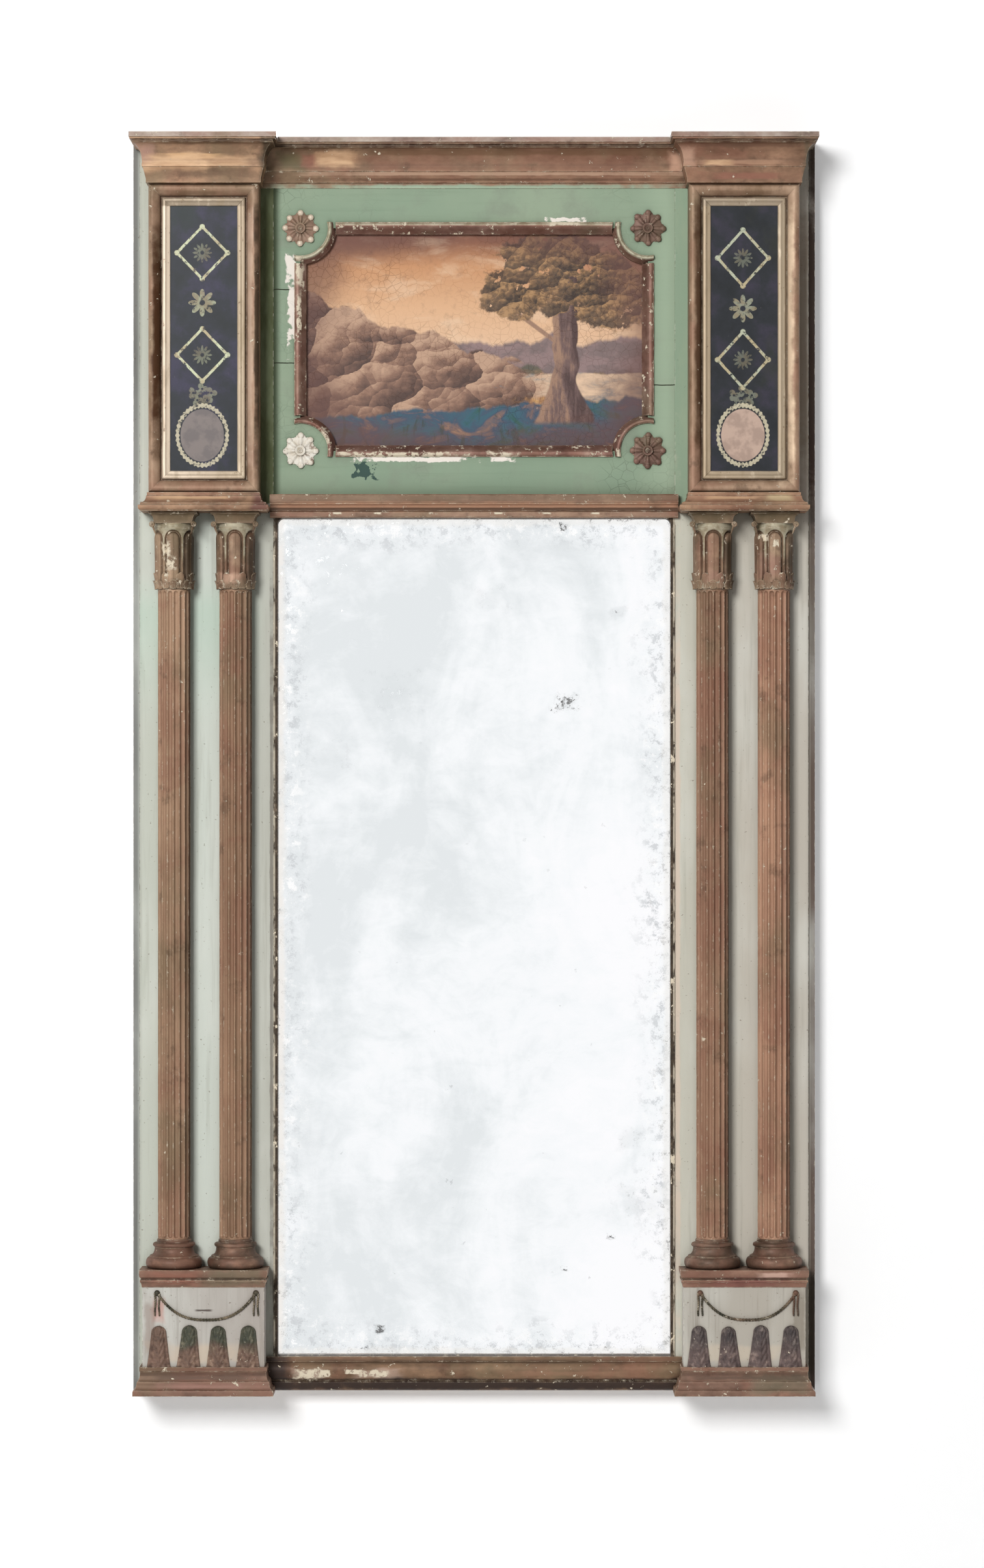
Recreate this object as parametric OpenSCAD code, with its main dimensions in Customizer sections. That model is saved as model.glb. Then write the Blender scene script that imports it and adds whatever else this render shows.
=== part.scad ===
// A tall painted wall mirror with paired fluted half columns, framed glass panels
// and a painted picture above the mirror plate. Millimetres, +Z up, front towards -Y.
// The origin is on the wall plane, on the centre line, at the bottom of the feet.

/* [Case] */
// Width over the two side boards
case_w = 846; // [830:2:900]
// Depth from the wall to the front of the boards
case_d = 34; // [32:1:44]
// Thickness of the pilaster boards and of the frieze board
board_t = 12; // [9:1:13]
// Thickness of a side board
side_t = 8; // [5:1:10]
// Width of a pilaster board, between the side board and the mirror's opening
stile_w = 166; // [158:1:180]
// How far a side board stops short of the front
side_set = 3; // [1:0.5:6]
// Thickness of the back boards
back_t = 8; // [5:1:9]
// Lap of the back boards over the rails
back_lap = 14; // [8:1:18]
// Number of upright back boards behind the mirror
back_boards = 3; // [2:1:5]

/* [Heights from the floor up] */
// Height of the flared foot moulding
foot_h = 35; // [28:1:45]
// Height of the plain plinth block
plinth_h = 98; // [90:1:130]
// Height of the plinth cap
cap_h = 21; // [16:1:28]
// Height of a column base
base_h = 36; // [30:1:44]
// Height of a column shaft
shaft_h = 802; // [600:1:1000]
// Height of the carved bell of a capital
bell_h = 72; // [64:1:90]
// Height of an abacus
abacus_h = 24; // [18:1:30]
// Height of the moulding under a panel block
architrave_h = 23; // [18:1:30]
// Height of the frieze, from the architrave to the cornice
frieze_h = 380; // [360:1:440]
// Height of the cornice moulding, without its top board
cornice_h = 55; // [46:1:70]
// Thickness of the top board
top_t = 6; // [4:1:9]

/* [Mirror] */
// Height of the moulding below the mirror
sill_h = 42; // [38:1:48]
// Height of the moulding above the mirror
lintel_h = 29; // [24:1:36]
// How far those two mouldings stand out
lintel_out = 14; // [10:1:18]
// Width of the bead round the mirror
bead_w = 5; // [3:0.5:7]
// How far the bead stands out
bead_out = 2; // [1:0.5:4]
// Radius of the mirror's two upper corners
sight_r = 8; // [4:1:16]
// Thickness of the mirror plate
plate_t = 4; // [3:0.5:5]
// Lap of the plate behind the boards
plate_lap = 8; // [5:1:12]
// Number of rebated blocks that hold each long edge of the plate
hold_count = 4; // [2:1:8]
// Length of such a block
hold_l = 60; // [40:5:90]

/* [Columns] */
// How far the middle of a pair of columns lies outside the middle of its pilaster board
pair_off = 1; // [0:0.5:2]
// Distance between the two columns of a pair
column_pitch = 76; // [72:1:80]
// Diameter of a shaft
column_d = 40; // [36:1:44]
// How far a column's axis stands in front of the boards
column_out = 18; // [12:1:22]
// Number of flutes round a whole shaft
flute_count = 16; // [12:2:20]
// Depth of a flute
flute_deep = 2.6; // [1.5:0.1:3]
// Width of the flat arris between two flutes
arris_w = 1.1; // [0.6:0.1:2]
// Plain length of shaft past the flutes at each end
flute_stop = 8; // [4:1:30]
// Number of tall round-headed leaves round a whole capital
tongue_count = 8; // [6:2:10]
// Width over an abacus at its foot
abacus_w = 48; // [46:1:52]

/* [Panel blocks and plinths] */
// Width of pilaster board to be seen at each side of a panel block
block_side = 15; // [12:1:18]
// How far a panel block and its frame stand in front of the boards
block_out = 50; // [46:1:60]
// Thickness of the frame on a panel block
frame_t = 12; // [10:1:16]
// Width of the frame on a panel block
frame_w = 16.5; // [14:0.5:20]
// Width of the pale slip inside the frame
slip_w = 10; // [7:0.5:13]
// Thickness of the slip
slip_t = 5; // [3:0.5:6]
// Thickness of the panel glass
glass_t = 2; // [1.5:0.5:3]
// Width of pilaster board to be seen at each side of a plinth block
plinth_side = 8; // [6:1:11]
// How far a plinth block stands in front of the boards
plinth_out = 52; // [50:1:60]
// Number of upright leaves on a plinth
leaf_count = 4; // [3:1:4]
// Height of an upright leaf
leaf_h = 46; // [36:1:54]
// Width of an upright leaf at its foot
leaf_w = 24; // [18:1:28]
// How far a leaf stands out from the plinth
leaf_out = 4.2; // [3:0.2:5]
// Distance between the two ends of a swag
swag_w = 115; // [90:1:120]
// Depth that the swag hangs down
swag_drop = 31; // [20:1:34]
// Thickness of the swag's rope
rope_d = 4; // [3:0.5:5]
// Length of the tails below the swag's two ends
swag_tail = 26; // [16:1:34]
// Depth of the swag's ends below the top of the plinth block
swag_low = 7; // [5:1:12]

/* [Reach of the mouldings] */
// Reach of the foot past the plinth block
foot_reach = 11.5; // [8:0.5:13]
// Reach of the plinth cap
cap_reach = 4; // [2:0.5:6]
// Reach of the architrave past the panel block
architrave_reach = 12; // [8:0.5:13]
// Reach of an abacus past its own foot
abacus_reach = 6; // [4:0.5:9]
// Reach of the cornice
cornice_reach = 21.5; // [16:0.5:22]
// Reach of the top board past the cornice
top_reach = 1; // [0.5:0.5:3]

/* [Picture] */
// Width from the side of the picture out to the side of the mirror
picture_side = 35.5; // [34:0.5:50]
// Visible height of the picture
picture_h = 262; // [230:1:270]
// Height of the picture's middle above the foot of the frieze
picture_up = 192.5; // [188:0.5:198]
// Thickness of the picture panel
picture_t = 6; // [4:0.5:8]
// Width of the moulding round the picture
surround_w = 14.5; // [12:0.5:18]
// How far that moulding stands in front of the frieze board
surround_out = 5; // [3:0.5:8]
// Radius of the hollow corners, at the picture's side
corner_r = 44; // [38:1:50]
// Width of the moulding in the hollow corners
corner_w = 10; // [8:0.5:12]
// Diameter of a rosette
rosette_d = 45; // [36:1:50]
// How far the middle of a rosette stands out
rosette_out = 7; // [6:0.5:9]
// How far its petals stand out
petal_out = 5; // [4:0.5:5.5]
// Number of petals on a rosette
petal_count = 8; // [6:1:12]

/* [Fixings] */
// Distance from the centre line to a hanging plate
hang_x = 250; // [180:1:300]
// Distance from the top of the case down to a hanging plate
hang_drop = 14; // [10:1:20]
// Distance from the back board of the frieze up to a hanging plate
hang_gap = 3.75; // [2:0.25:6]
// Width of a hanging plate
hang_w = 30; // [24:1:40]
// Thickness of a hanging plate
hang_t = 3; // [2:0.5:4]
// Diameter of the hole for the wall screw
hang_hole = 9; // [6:0.5:12]
// Distance from the top of a hanging plate down to the middle of its hole
hang_hole_drop = 22; // [20:1:26]
// Diameter of a wood screw's shank
screw_d = 3.5; // [3:0.5:4.5]
// Length of a wood screw
screw_l = 18; // [16:1:20]
// Clearance round the glass, the plate and the picture panel
fit = 0.5; // [0.2:0.1:1]

/* [Hidden] */

left = -1;
right = 1;
inner = -1;
outer = 1;
over = 1; // cutters run this far past what they cut

bronze = "#8f735c";
cream = "#cbb99f";
pale_green = "#bcc1b1";
frieze_green = "#8fa98f";
dark_glass = "#34353c";
pine = "#b9946a";

z_plinth = foot_h;
z_cap = z_plinth + plinth_h;
z_base = z_cap + cap_h;
z_shaft = z_base + base_h;
z_bell = z_shaft + shaft_h;
z_abacus = z_bell + bell_h;
z_architrave = z_abacus + abacus_h;
z_frieze = z_architrave + architrave_h;
z_cornice = z_frieze + frieze_h;
z_case = z_cornice + cornice_h;

case_in = case_w / 2 - side_t;
back_of_boards = case_d - board_t;
sight_w = 2 * (case_in - stile_w - bead_w);
open_x = sight_w / 2 + bead_w;
sight_top = z_frieze - lintel_h;
open_low = sill_h - bead_w;
open_top = sight_top + bead_w;
bead_deep = bead_w + sight_r;
plate_x = open_x + plate_lap;
plate_low = open_low - plate_lap;
plate_top = open_top + plate_lap;

pair_x = open_x + stile_w / 2 + pair_off;
block_w = stile_w - 2 * block_side;
plinth_w = stile_w - 2 * plinth_side;
column_r = column_d / 2;
flute_r = column_r * sin(180 / flute_count) - arris_w / 2;
flute_axis = column_r + flute_r - flute_deep;

picture_w = sight_w - 2 * picture_side;
picture_z = z_frieze + picture_up;
surround_in = surround_w / 2;
ring_r = corner_r - corner_w;
ring_mid = corner_r - corner_w / 2;
rosette_off = 7; // the rosettes' middles lie this far outside the picture's corners
rosette_x = picture_w / 2 + rosette_off;
rosette_z = picture_h / 2 + rosette_off;
panel_lap = 10; // of the picture panel behind the frieze board
panel_x = picture_w / 2 + surround_in + panel_lap;
panel_z = picture_h / 2 + surround_in + panel_lap;

hairline = 0.05; // half of the joint between two mitred or coped lengths
seat_gap = 0.2; // clearance of a frame or slip in the opening that it fills
screw_head_d = 2 * screw_d;
screw_sink = (screw_head_d - screw_d) / 2;
screw_edge = 38; // from the edge of a back board in to its screws
plate_screw_edge = 8; // from the end of a hanging plate to its screws
mirror_back_screw_z = [plate_low - back_lap / 2, plate_top + fit + back_lap / 2];
frieze_back_screw_z = [picture_z - panel_z - back_lap / 2, picture_z + panel_z + fit + back_lap / 2];
back_w = (2 * case_in - fit) / back_boards;
hang_top = z_case - hang_drop;
hang_low = frieze_back_screw_z[1] + back_lap / 2 + hang_gap;
hang_h = hang_top - hang_low;
hang_hole_z = hang_top - hang_hole_drop;
plate_screw_z = [hang_low + plate_screw_edge, hang_top - plate_screw_edge];

// Points of a quarter hollow or quarter round between two corners of a profile.
// From [x, z], it goes dx out and dz up; bulge picks which corner it swings round.
function quarter(x, z, dx, dz, bulge, steps = 7) = [for (i = [0:steps])
    let (a = 90 * i / steps)
    bulge ? [x + dx * sin(a), z + dz * (1 - cos(a))] : [x + dx * (1 - cos(a)), z + dz * sin(a)]];

// Each profile is a list of [reach, height], from the bottom up
foot_profile = let (r = foot_reach, h = foot_h) concat(
    [[r, 0], [r, 0.14 * h]],
    quarter(0.93 * r, 0.2 * h, -0.35 * r, 0.24 * h, true),
    quarter(0.52 * r, 0.5 * h, -0.3 * r, 0.34 * h, true),
    [[0.3 * r, 0.86 * h], [0.3 * r, h]]);
cap_profile = let (r = cap_reach, h = cap_h) concat(
    quarter(0.2 * r, 0, 0.5 * r, 0.3 * h, false),
    [[0.7 * r, 0.42 * h], [0.4 * r, 0.42 * h], [0.4 * r, 0.52 * h]],
    quarter(0.5 * r, 0.55 * h, 0.5 * r, 0.3 * h, true),
    [[r, h]]);
architrave_profile = let (r = architrave_reach, h = architrave_h) concat(
    [[0.8 * r, 0]],
    quarter(0.8 * r, 0.04 * h, 0.2 * r, 0.14 * h, true),
    [[r, 0.3 * h], [0.78 * r, 0.34 * h], [0.78 * r, 0.42 * h]],
    quarter(0.7 * r, 0.46 * h, -0.5 * r, 0.34 * h, true),
    [[0.12 * r, 0.84 * h], [0.12 * r, h]]);
abacus_profile = let (r = abacus_reach, h = abacus_h) concat(
    [[0, 0], [0, 0.12 * h]],
    quarter(0, 0.12 * h, 0.85 * r, 0.66 * h, false),
    [[r, 0.8 * h], [r, h]]);
cornice_profile = let (r = cornice_reach, h = cornice_h) concat(
    [[0.14 * r, 0], [0.14 * r, 0.04 * h]],
    quarter(0.16 * r, 0.05 * h, 0.24 * r, 0.18 * h, true),
    [[0.4 * r, 0.28 * h], [0.32 * r, 0.3 * h]],
    quarter(0.32 * r, 0.3 * h, 0.4 * r, 0.52 * h, false, 10),
    [[0.79 * r, 0.83 * h], [0.79 * r, 0.87 * h]],
    quarter(0.79 * r, 0.87 * h, 0.21 * r, 0.11 * h, false),
    [[r, h]]);
sill_profile = let (r = lintel_out, h = sill_h) concat(
    [[0.75 * r, 0], [0.75 * r, 0.14 * h], [0.45 * r, 0.17 * h]],
    quarter(0.45 * r, 0.3 * h, 0.3 * r, -0.13 * h, false, 2),
    [[0.45 * r, 0.36 * h]],
    quarter(0.5 * r, 0.42 * h, 0.5 * r, 0.2 * h, true),
    quarter(r, 0.62 * h, -0.5 * r, 0.22 * h, false),
    [[0.36 * r, 0.86 * h], [0.36 * r, h]]);
lintel_profile = let (r = lintel_out, h = lintel_h) concat(
    [[0.5 * r, 0], [0.62 * r, 0.05 * h], [0.62 * r, 0.24 * h], [0.4 * r, 0.3 * h]],
    quarter(0.4 * r, 0.34 * h, 0.3 * r, 0.22 * h, false),
    [[0.8 * r, 0.6 * h]],
    quarter(0.8 * r, 0.62 * h, 0.2 * r, 0.16 * h, true),
    [[r, 0.94 * h], [0.9 * r, h]]);

// A block against the boards whose front and two sides carry one moulding with
// mitred corners: at every height its plan is a rectangle grown by the reach there
module moulded_block(w, out, profile) {
    last = len(profile) - 1;
    reach = max([for (p = profile) p.x]);
    intersection() {
        translate([0, over, 0])
            rotate([90, 0, 0])
                linear_extrude(out + reach + 2 * over)
                    polygon(concat(
                        [for (p = profile) [w / 2 + p.x, p.y]],
                        [for (i = [last:-1:0]) [-w / 2 - profile[i].x, profile[i].y]]));
        translate([-w / 2 - reach - over, 0, 0])
            moulded_run(w + 2 * (reach + over), profile, out);
    }
}

// A straight length of the same moulding, from x = 0 along +X
module moulded_run(length, profile, out = 0) {
    last = len(profile) - 1;
    rotate([90, 0, 90])
        linear_extrude(length)
            polygon(concat(
                [[0, profile[0].y]],
                [for (p = profile) [-out - p.x, p.y]],
                [[0, profile[last].y]]));
}

// One mitred length of a frame: its outer edge lies on z = 0 and its back on y = 0.
// The profile's points are [distance in from the outer edge, thickness]
module mitred_length(length, width, profile) {
    thick = max([for (p = profile) p.y]);
    low = min([for (p = profile) p.y]);
    half = length / 2 - hairline;
    intersection() {
        translate([-length / 2 - over, 0, 0])
            rotate([90, 0, 90])
                linear_extrude(length + 2 * over)
                    polygon([for (p = profile) [-p.y, -p.x]]);
        translate([0, over - low, 0])
            rotate([90, 0, 0])
                linear_extrude(thick - low + 2 * over)
                    polygon([[-half, 0], [half, 0], [half - width, -width], [width - half, -width]]);
    }
}

// Four mitred lengths round a rectangle whose middle is the origin
module mitred_frame(w, h, width, profile) {
    for (turn = [0, 180])
        rotate([0, turn, 0])
            translate([0, 0, h / 2])
                mitred_length(w, width, profile);
    for (turn = [90, 270])
        rotate([0, turn, 0])
            translate([0, 0, w / 2])
                mitred_length(h, width, profile);
}

// Keeps what stands in front of a plane at depth d
module in_front_of(d) {
    intersection() {
        children();
        translate([-case_w, -2 * case_d - case_w, -over])
            cube([2 * case_w, case_w + 2 * case_d - d, 2 * z_case]);
    }
}

// Places a piece at the middle of the left or right pair, on the face of the boards
module at_pair(side, z) {
    translate([side * pair_x, -case_d, z])
        children();
}

// Places a piece on the axis of one column
module at_column(side, place, z) {
    translate([side * (pair_x + place * column_pitch / 2), -case_d - column_out, z])
        children();
}

module screw_shape(extra = 0) {
    rotate([90, 0, 0]) {
        cylinder(d1 = screw_head_d, d2 = screw_d, h = screw_sink, $fn = 24);
        cylinder(d = screw_d, h = screw_l, $fn = 24);
        if (extra > 0)
            translate([0, 0, -extra])
                cylinder(d = screw_head_d, h = extra, $fn = 24);
    }
}

// Every place that holds a screw, all driven in from the back
module screw_places() {
    for (b = [0:back_boards - 1], end = [-1, 1], z = mirror_back_screw_z)
        translate([-case_in + back_w * (b + 0.5) + end * (back_w / 2 - screw_edge), 0, z])
            children();
    for (x = [-1, -1 / 3, 1 / 3, 1], z = frieze_back_screw_z)
        translate([x * (case_in - screw_edge), 0, z])
            children();
    for (s = [left, right], z = plate_screw_z)
        translate([s * hang_x, 0, z])
            children();
}

module side_board(side) {
    color(pale_green)
        translate([side > 0 ? case_in : -case_in - side_t, side_set - case_d, 0])
            cube([side_t, case_d - side_set, z_case]);
}

module pilaster_board(side) {
    wide = case_in - open_x;
    color(pale_green)
        translate([side > 0 ? open_x : -case_in, -case_d, 0])
            cube([wide, board_t, z_case]);
}

// A rail behind the boards, rebated along an edge for the back boards
module rail(z0, z1, lap_low, lap_top) {
    difference() {
        translate([-case_in, -back_of_boards, z0])
            cube([2 * case_in, back_of_boards, z1 - z0]);
        for (cut = [[lap_low, z0 - over, z0 + back_lap], [lap_top, z1 - back_lap, z1 + over]])
            if (cut[0])
                translate([-case_in - over, -back_t, cut[1]])
                    cube([2 * (case_in + over), back_t + over, cut[2] - cut[1]]);
        screw_places()
            screw_shape(over);
    }
}

// Seat of a hanging plate, with room behind its hole for the head of the wall screw
module hanging_pocket(side) {
    head_room = 0.7 * back_of_boards;
    translate([side * hang_x - hang_w / 2, -hang_t, hang_low])
        cube([hang_w, hang_t + over, hang_h]);
    translate([side * hang_x, 0, hang_hole_z])
        rotate([90, 0, 0])
            cylinder(d = 2 * hang_hole, h = head_room, $fn = 48);
}

module top_rail() {
    color(pine)
        difference() {
            rail(picture_z + panel_z + fit, z_case, true, false);
            for (s = [left, right])
                hanging_pocket(s);
        }
}

module middle_rail() {
    color(pine)
        rail(plate_top + fit, picture_z - panel_z, true, true);
}

// The bottom rail comes forward between the pilaster boards to carry the sill moulding
module bottom_rail() {
    color(pine) {
        union() {
            rail(0, plate_low, false, true);
            translate([-open_x, -case_d, 0])
                cube([2 * open_x, board_t, open_low]);
        }
    }
}

// The picture's outline, grown by g all round and hollowed at the corners
module hollow_corner_outline(g, r) {
    difference() {
        square([picture_w + 2 * g, picture_h + 2 * g], center = true);
        for (sx = [-1, 1], sz = [-1, 1])
            translate([sx * rosette_x, sz * rosette_z])
                circle(r = r, $fn = 96);
    }
}

module frieze_board() {
    color(frieze_green)
        difference() {
            translate([-open_x, -case_d, open_top])
                cube([2 * open_x, board_t, z_case - open_top]);
            translate([0, over - back_of_boards, picture_z])
                rotate([90, 0, 0])
                    linear_extrude(board_t + 2 * over)
                        hollow_corner_outline(surround_in, ring_mid);
        }
}

module frieze_backboard() {
    low = frieze_back_screw_z[0] - back_lap / 2;
    high = frieze_back_screw_z[1] + back_lap / 2;
    color(pine)
        difference() {
            translate([-case_in, -back_t, low])
                cube([2 * case_in, back_t, high - low]);
            screw_places()
                screw_shape(over);
        }
}

module mirror_backboards() {
    low = plate_low - back_lap;
    high = plate_top + fit + back_lap;
    color(pine)
        difference() {
            for (b = [0:back_boards - 1])
                translate([-case_in + fit / 2 + b * back_w + fit / 2, -back_t, low])
                    cube([back_w - fit, back_t, high - low]);
            screw_places()
                screw_shape(over);
        }
}

module mirror_plate() {
    color("#dfe4e4")
        translate([-plate_x, -back_of_boards, plate_low])
            cube([2 * plate_x, plate_t, plate_top - plate_low]);
}

// The bead lines the boards round the mirror in four mitred lengths; the two upright
// ones stand proud between the mouldings above and below
module mirror_beading() {
    color(bronze) {
        for (s = [left, right])
            union() {
                bead_length([
                    [s * open_x, open_low + hairline],
                    [s * open_x, open_top - hairline],
                    [s * (open_x - bead_deep), open_top - bead_deep - hairline],
                    [s * (open_x - bead_deep), open_low + bead_deep + hairline]]);
                translate([s * (open_x - bead_w / 2) - bead_w / 2, -case_d - bead_out, sill_h])
                    cube([bead_w, bead_out + over, sight_top - sight_r - sill_h]);
            }
        for (end = [[open_top, -1], [open_low, 1]])
            bead_length([
                [hairline - open_x, end[0]],
                [open_x - hairline, end[0]],
                [open_x - bead_deep - hairline, end[0] + end[1] * bead_deep],
                [hairline + bead_deep - open_x, end[0] + end[1] * bead_deep]]);
    }
}

module bead_length(mitre) {
    translate([0, -back_of_boards, 0])
        rotate([90, 0, 0])
            linear_extrude(board_t)
                intersection() {
                    bead_ring();
                    polygon(mitre);
                }
}

module bead_ring() {
    high = sight_top - sill_h;
    difference() {
        translate([-open_x, open_low])
            square([2 * open_x, open_top - open_low]);
        translate([-sight_w / 2, sill_h])
            square([sight_w, high - sight_r]);
        translate([-sight_w / 2 + sight_r, sight_top - sight_r - over])
            square([sight_w - 2 * sight_r, sight_r + over]);
        for (s = [-1, 1])
            translate([s * (sight_w / 2 - sight_r), sight_top - sight_r])
                circle(r = sight_r, $fn = 48);
    }
}

// Rebated softwood blocks, glued behind the boards, clasp the plate's long edges
module mirror_blocks() {
    wide = 16;
    behind = 10;
    step = (plate_top - plate_low) / hold_count;
    seat = plate_t + seat_gap - back_of_boards;
    color(pine)
        for (s = [left, right], i = [0:hold_count - 1])
            translate([s * plate_x, 0, plate_low + step * (i + 0.5) - hold_l / 2])
                linear_extrude(hold_l)
                    polygon([
                        [s * wide, -back_of_boards],
                        [s * wide, -back_t],
                        [-s * behind / 2, -back_t],
                        [-s * behind, seat],
                        [s * seat_gap, seat],
                        [s * seat_gap, -back_of_boards]]);
}

module middle_moulding() {
    half = pair_x - block_w / 2 - architrave_reach;
    color(bronze)
        difference() {
            translate([-half, -case_d, sight_top])
                moulded_run(2 * half, lintel_profile);
            for (s = [left, right])
                at_pair(s, z_architrave)
                    moulded_block(block_w, block_out, architrave_profile);
        }
}

module bottom_moulding() {
    half = pair_x - plinth_w / 2;
    color(bronze)
        difference() {
            translate([-half, -case_d, 0])
                moulded_run(2 * half, sill_profile);
            for (s = [left, right])
                foot_shape(s);
        }
}

module picture_panel() {
    color("#a9896d")
        translate([-panel_x, -back_of_boards, picture_z - panel_z])
            cube([2 * panel_x, picture_t, 2 * panel_z]);
}

// Section of the picture's moulding: a bead, a slope down to the picture and a tongue
// that fills the board's opening. Points are [in from the outer edge, out from the board]
function surround_section(w, tongue) = concat(
    [[0, 0], [0, 0.45 * surround_out]],
    [for (i = [0:6])
        let (a = 180 - 20 * i)
        [0.3 * w + 0.24 * w * cos(a), 0.5 * surround_out * (1 + sin(a))]],
    [[0.6 * w, 0.42 * surround_out], [w, -0.4 * board_t], [w, -board_t], [tongue, -board_t], [tongue, 0]]);

module straight_surround(length) {
    tongue = surround_in + seat_gap;
    translate([-length / 2, 0, 0])
        rotate([90, 0, 90])
            linear_extrude(length)
                polygon([for (p = surround_section(surround_w, tongue)) [-p.y, -p.x]]);
}

// The four straight lengths stop at the hollow corners, which are lathe-turned quarters
module picture_moulding() {
    edge_x = picture_w / 2 + surround_w;
    edge_z = picture_h / 2 + surround_w;
    color(bronze)
        translate([0, -case_d, picture_z]) {
            for (turn = [0, 180])
                rotate([0, turn, 0])
                    clear_of_corners()
                        translate([0, 0, edge_z])
                            straight_surround(2 * rosette_x);
            for (turn = [90, 270])
                rotate([0, turn, 0])
                    clear_of_corners(turned = true)
                        translate([0, 0, edge_x])
                            straight_surround(2 * rosette_z);
            for (sx = [-1, 1], sz = [-1, 1])
                intersection() {
                    translate([sx * rosette_x, 0, sz * rosette_z])
                        corner_ring();
                    union() {
                        picture_quarter(sx, sz, surround_w, 0);
                        picture_quarter(sx, sz, surround_in - seat_gap, board_t);
                    }
                }
        }
}

// A quarter of the picture's rectangle grown by g, down to depth d below the board's face
module picture_quarter(sx, sz, g, d) {
    w = picture_w / 2 + g;
    h = picture_h / 2 + g;
    translate([min(0, sx * w), -surround_out - over, min(0, sz * h)])
        cube([w, surround_out + over + d, h]);
}

module clear_of_corners(turned = false) {
    cx = turned ? rosette_z : rosette_x;
    cz = turned ? rosette_x : rosette_z;
    difference() {
        children();
        for (sx = [-1, 1])
            translate([sx * cx, board_t + over, cz])
                rotate([90, 0, 0])
                    cylinder(r = corner_r + hairline, h = 2 * board_t + surround_out + 2 * over, $fn = 96);
    }
}

module corner_ring() {
    tongue = corner_w / 2 + seat_gap;
    rotate([90, 0, 0])
        rotate_extrude($fn = 96)
            polygon([for (p = surround_section(corner_w, tongue)) [ring_r + p.x, p.y]]);
}

// Round flower with domed petals, each with a groove down its middle
module rosette(sx, sz) {
    petal_r = 0.5 * rosette_d * sin(180 / petal_count);
    petal_at = rosette_d / 2 - petal_r;
    dome_r = 1.4 * petal_r;
    boss_r = 0.17 * rosette_d;
    groove_r = 1.2;
    color(bronze)
        translate([sx * rosette_x, -case_d, picture_z + sz * rosette_z])
            rotate([90, 0, 0]) {
                cylinder(r = petal_at, h = petal_out / 2, $fn = 48);
                for (i = [0:petal_count - 1])
                    rotate([0, 0, 360 * i / petal_count])
                        translate([petal_at, 0, 0])
                            difference() {
                                intersection() {
                                    cylinder(r = petal_r, h = petal_out, $fn = 32);
                                    translate([0, 0, petal_out - dome_r])
                                        sphere(r = dome_r, $fn = 48);
                                }
                                translate([0, 0, petal_out + 0.3 * groove_r])
                                    rotate([0, 90, 0])
                                        cylinder(r = groove_r, h = 3 * petal_r, center = true, $fn = 16);
                            }
                cylinder(r = boss_r, h = rosette_out - 2.5, $fn = 32);
                intersection() {
                    translate([0, 0, rosette_out - boss_r])
                        sphere(r = boss_r, $fn = 48);
                    cylinder(r = boss_r - 0.5, h = rosette_out, $fn = 32);
                }
            }
}

module top_board() {
    reach = cornice_reach + top_reach;
    end_w = block_w + 2 * reach;
    color(bronze)
        translate([0, 0, z_case])
            linear_extrude(top_t)
                union() {
                    translate([-case_w / 2, -case_d - reach])
                        square([case_w, case_d + reach]);
                    for (s = [left, right])
                        translate([s * pair_x - end_w / 2, -case_d - block_out - reach])
                            square([end_w, block_out + reach + case_d]);
                }
}

module cornice_end(side) {
    color(bronze)
        at_pair(side, z_cornice)
            moulded_block(block_w, block_out, cornice_profile);
}

// The centre length is coped against the returns of the two end blocks
module cornice_centre() {
    half = pair_x - block_w / 2;
    color(bronze)
        difference() {
            translate([-half, -case_d, z_cornice])
                moulded_run(2 * half, cornice_profile);
            for (s = [left, right])
                at_pair(s, z_cornice)
                    moulded_block(block_w, block_out, cornice_profile);
        }
}

module frieze_block(side) {
    deep = block_out - frame_t;
    color(bronze)
        translate([side * pair_x - block_w / 2, -case_d - deep, z_frieze])
            cube([block_w, deep, frieze_h]);
}

module at_panel(side) {
    translate([side * pair_x, frame_t - case_d - block_out, z_frieze + frieze_h / 2])
        children();
}

module panel_frame(side) {
    flat_w = 0.55 * frame_w;
    chamfer = 1;
    quirk = 0.7;
    color(bronze)
        at_panel(side)
            mitred_frame(block_w, frieze_h, frame_w,
                [[0, 0], [0, frame_t - chamfer], [chamfer, frame_t], [flat_w, frame_t],
                    [flat_w + quirk, frame_t - quirk], [frame_w, glass_t + slip_t + quirk],
                    [frame_w, 0]]);
}

module panel_slip(side) {
    w = block_w - 2 * frame_w - seat_gap;
    h = frieze_h - 2 * frame_w - seat_gap;
    color(cream)
        at_panel(side)
            mitred_frame(w, h, slip_w,
                [[0, glass_t], [0, glass_t + slip_t], [0.35 * slip_w, glass_t + slip_t],
                    [0.75 * slip_w, glass_t + 0.6 * slip_t], [slip_w, glass_t + 0.45 * slip_t],
                    [slip_w, glass_t]]);
}

module panel_glass(side) {
    w = block_w - 2 * (frame_w + fit);
    h = frieze_h - 2 * (frame_w + fit);
    color(dark_glass)
        at_panel(side)
            translate([-w / 2, -glass_t, -h / 2])
                cube([w, glass_t, h]);
}

module architrave(side) {
    color(bronze)
        at_pair(side, z_architrave)
            moulded_block(block_w, block_out, architrave_profile);
}

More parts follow.
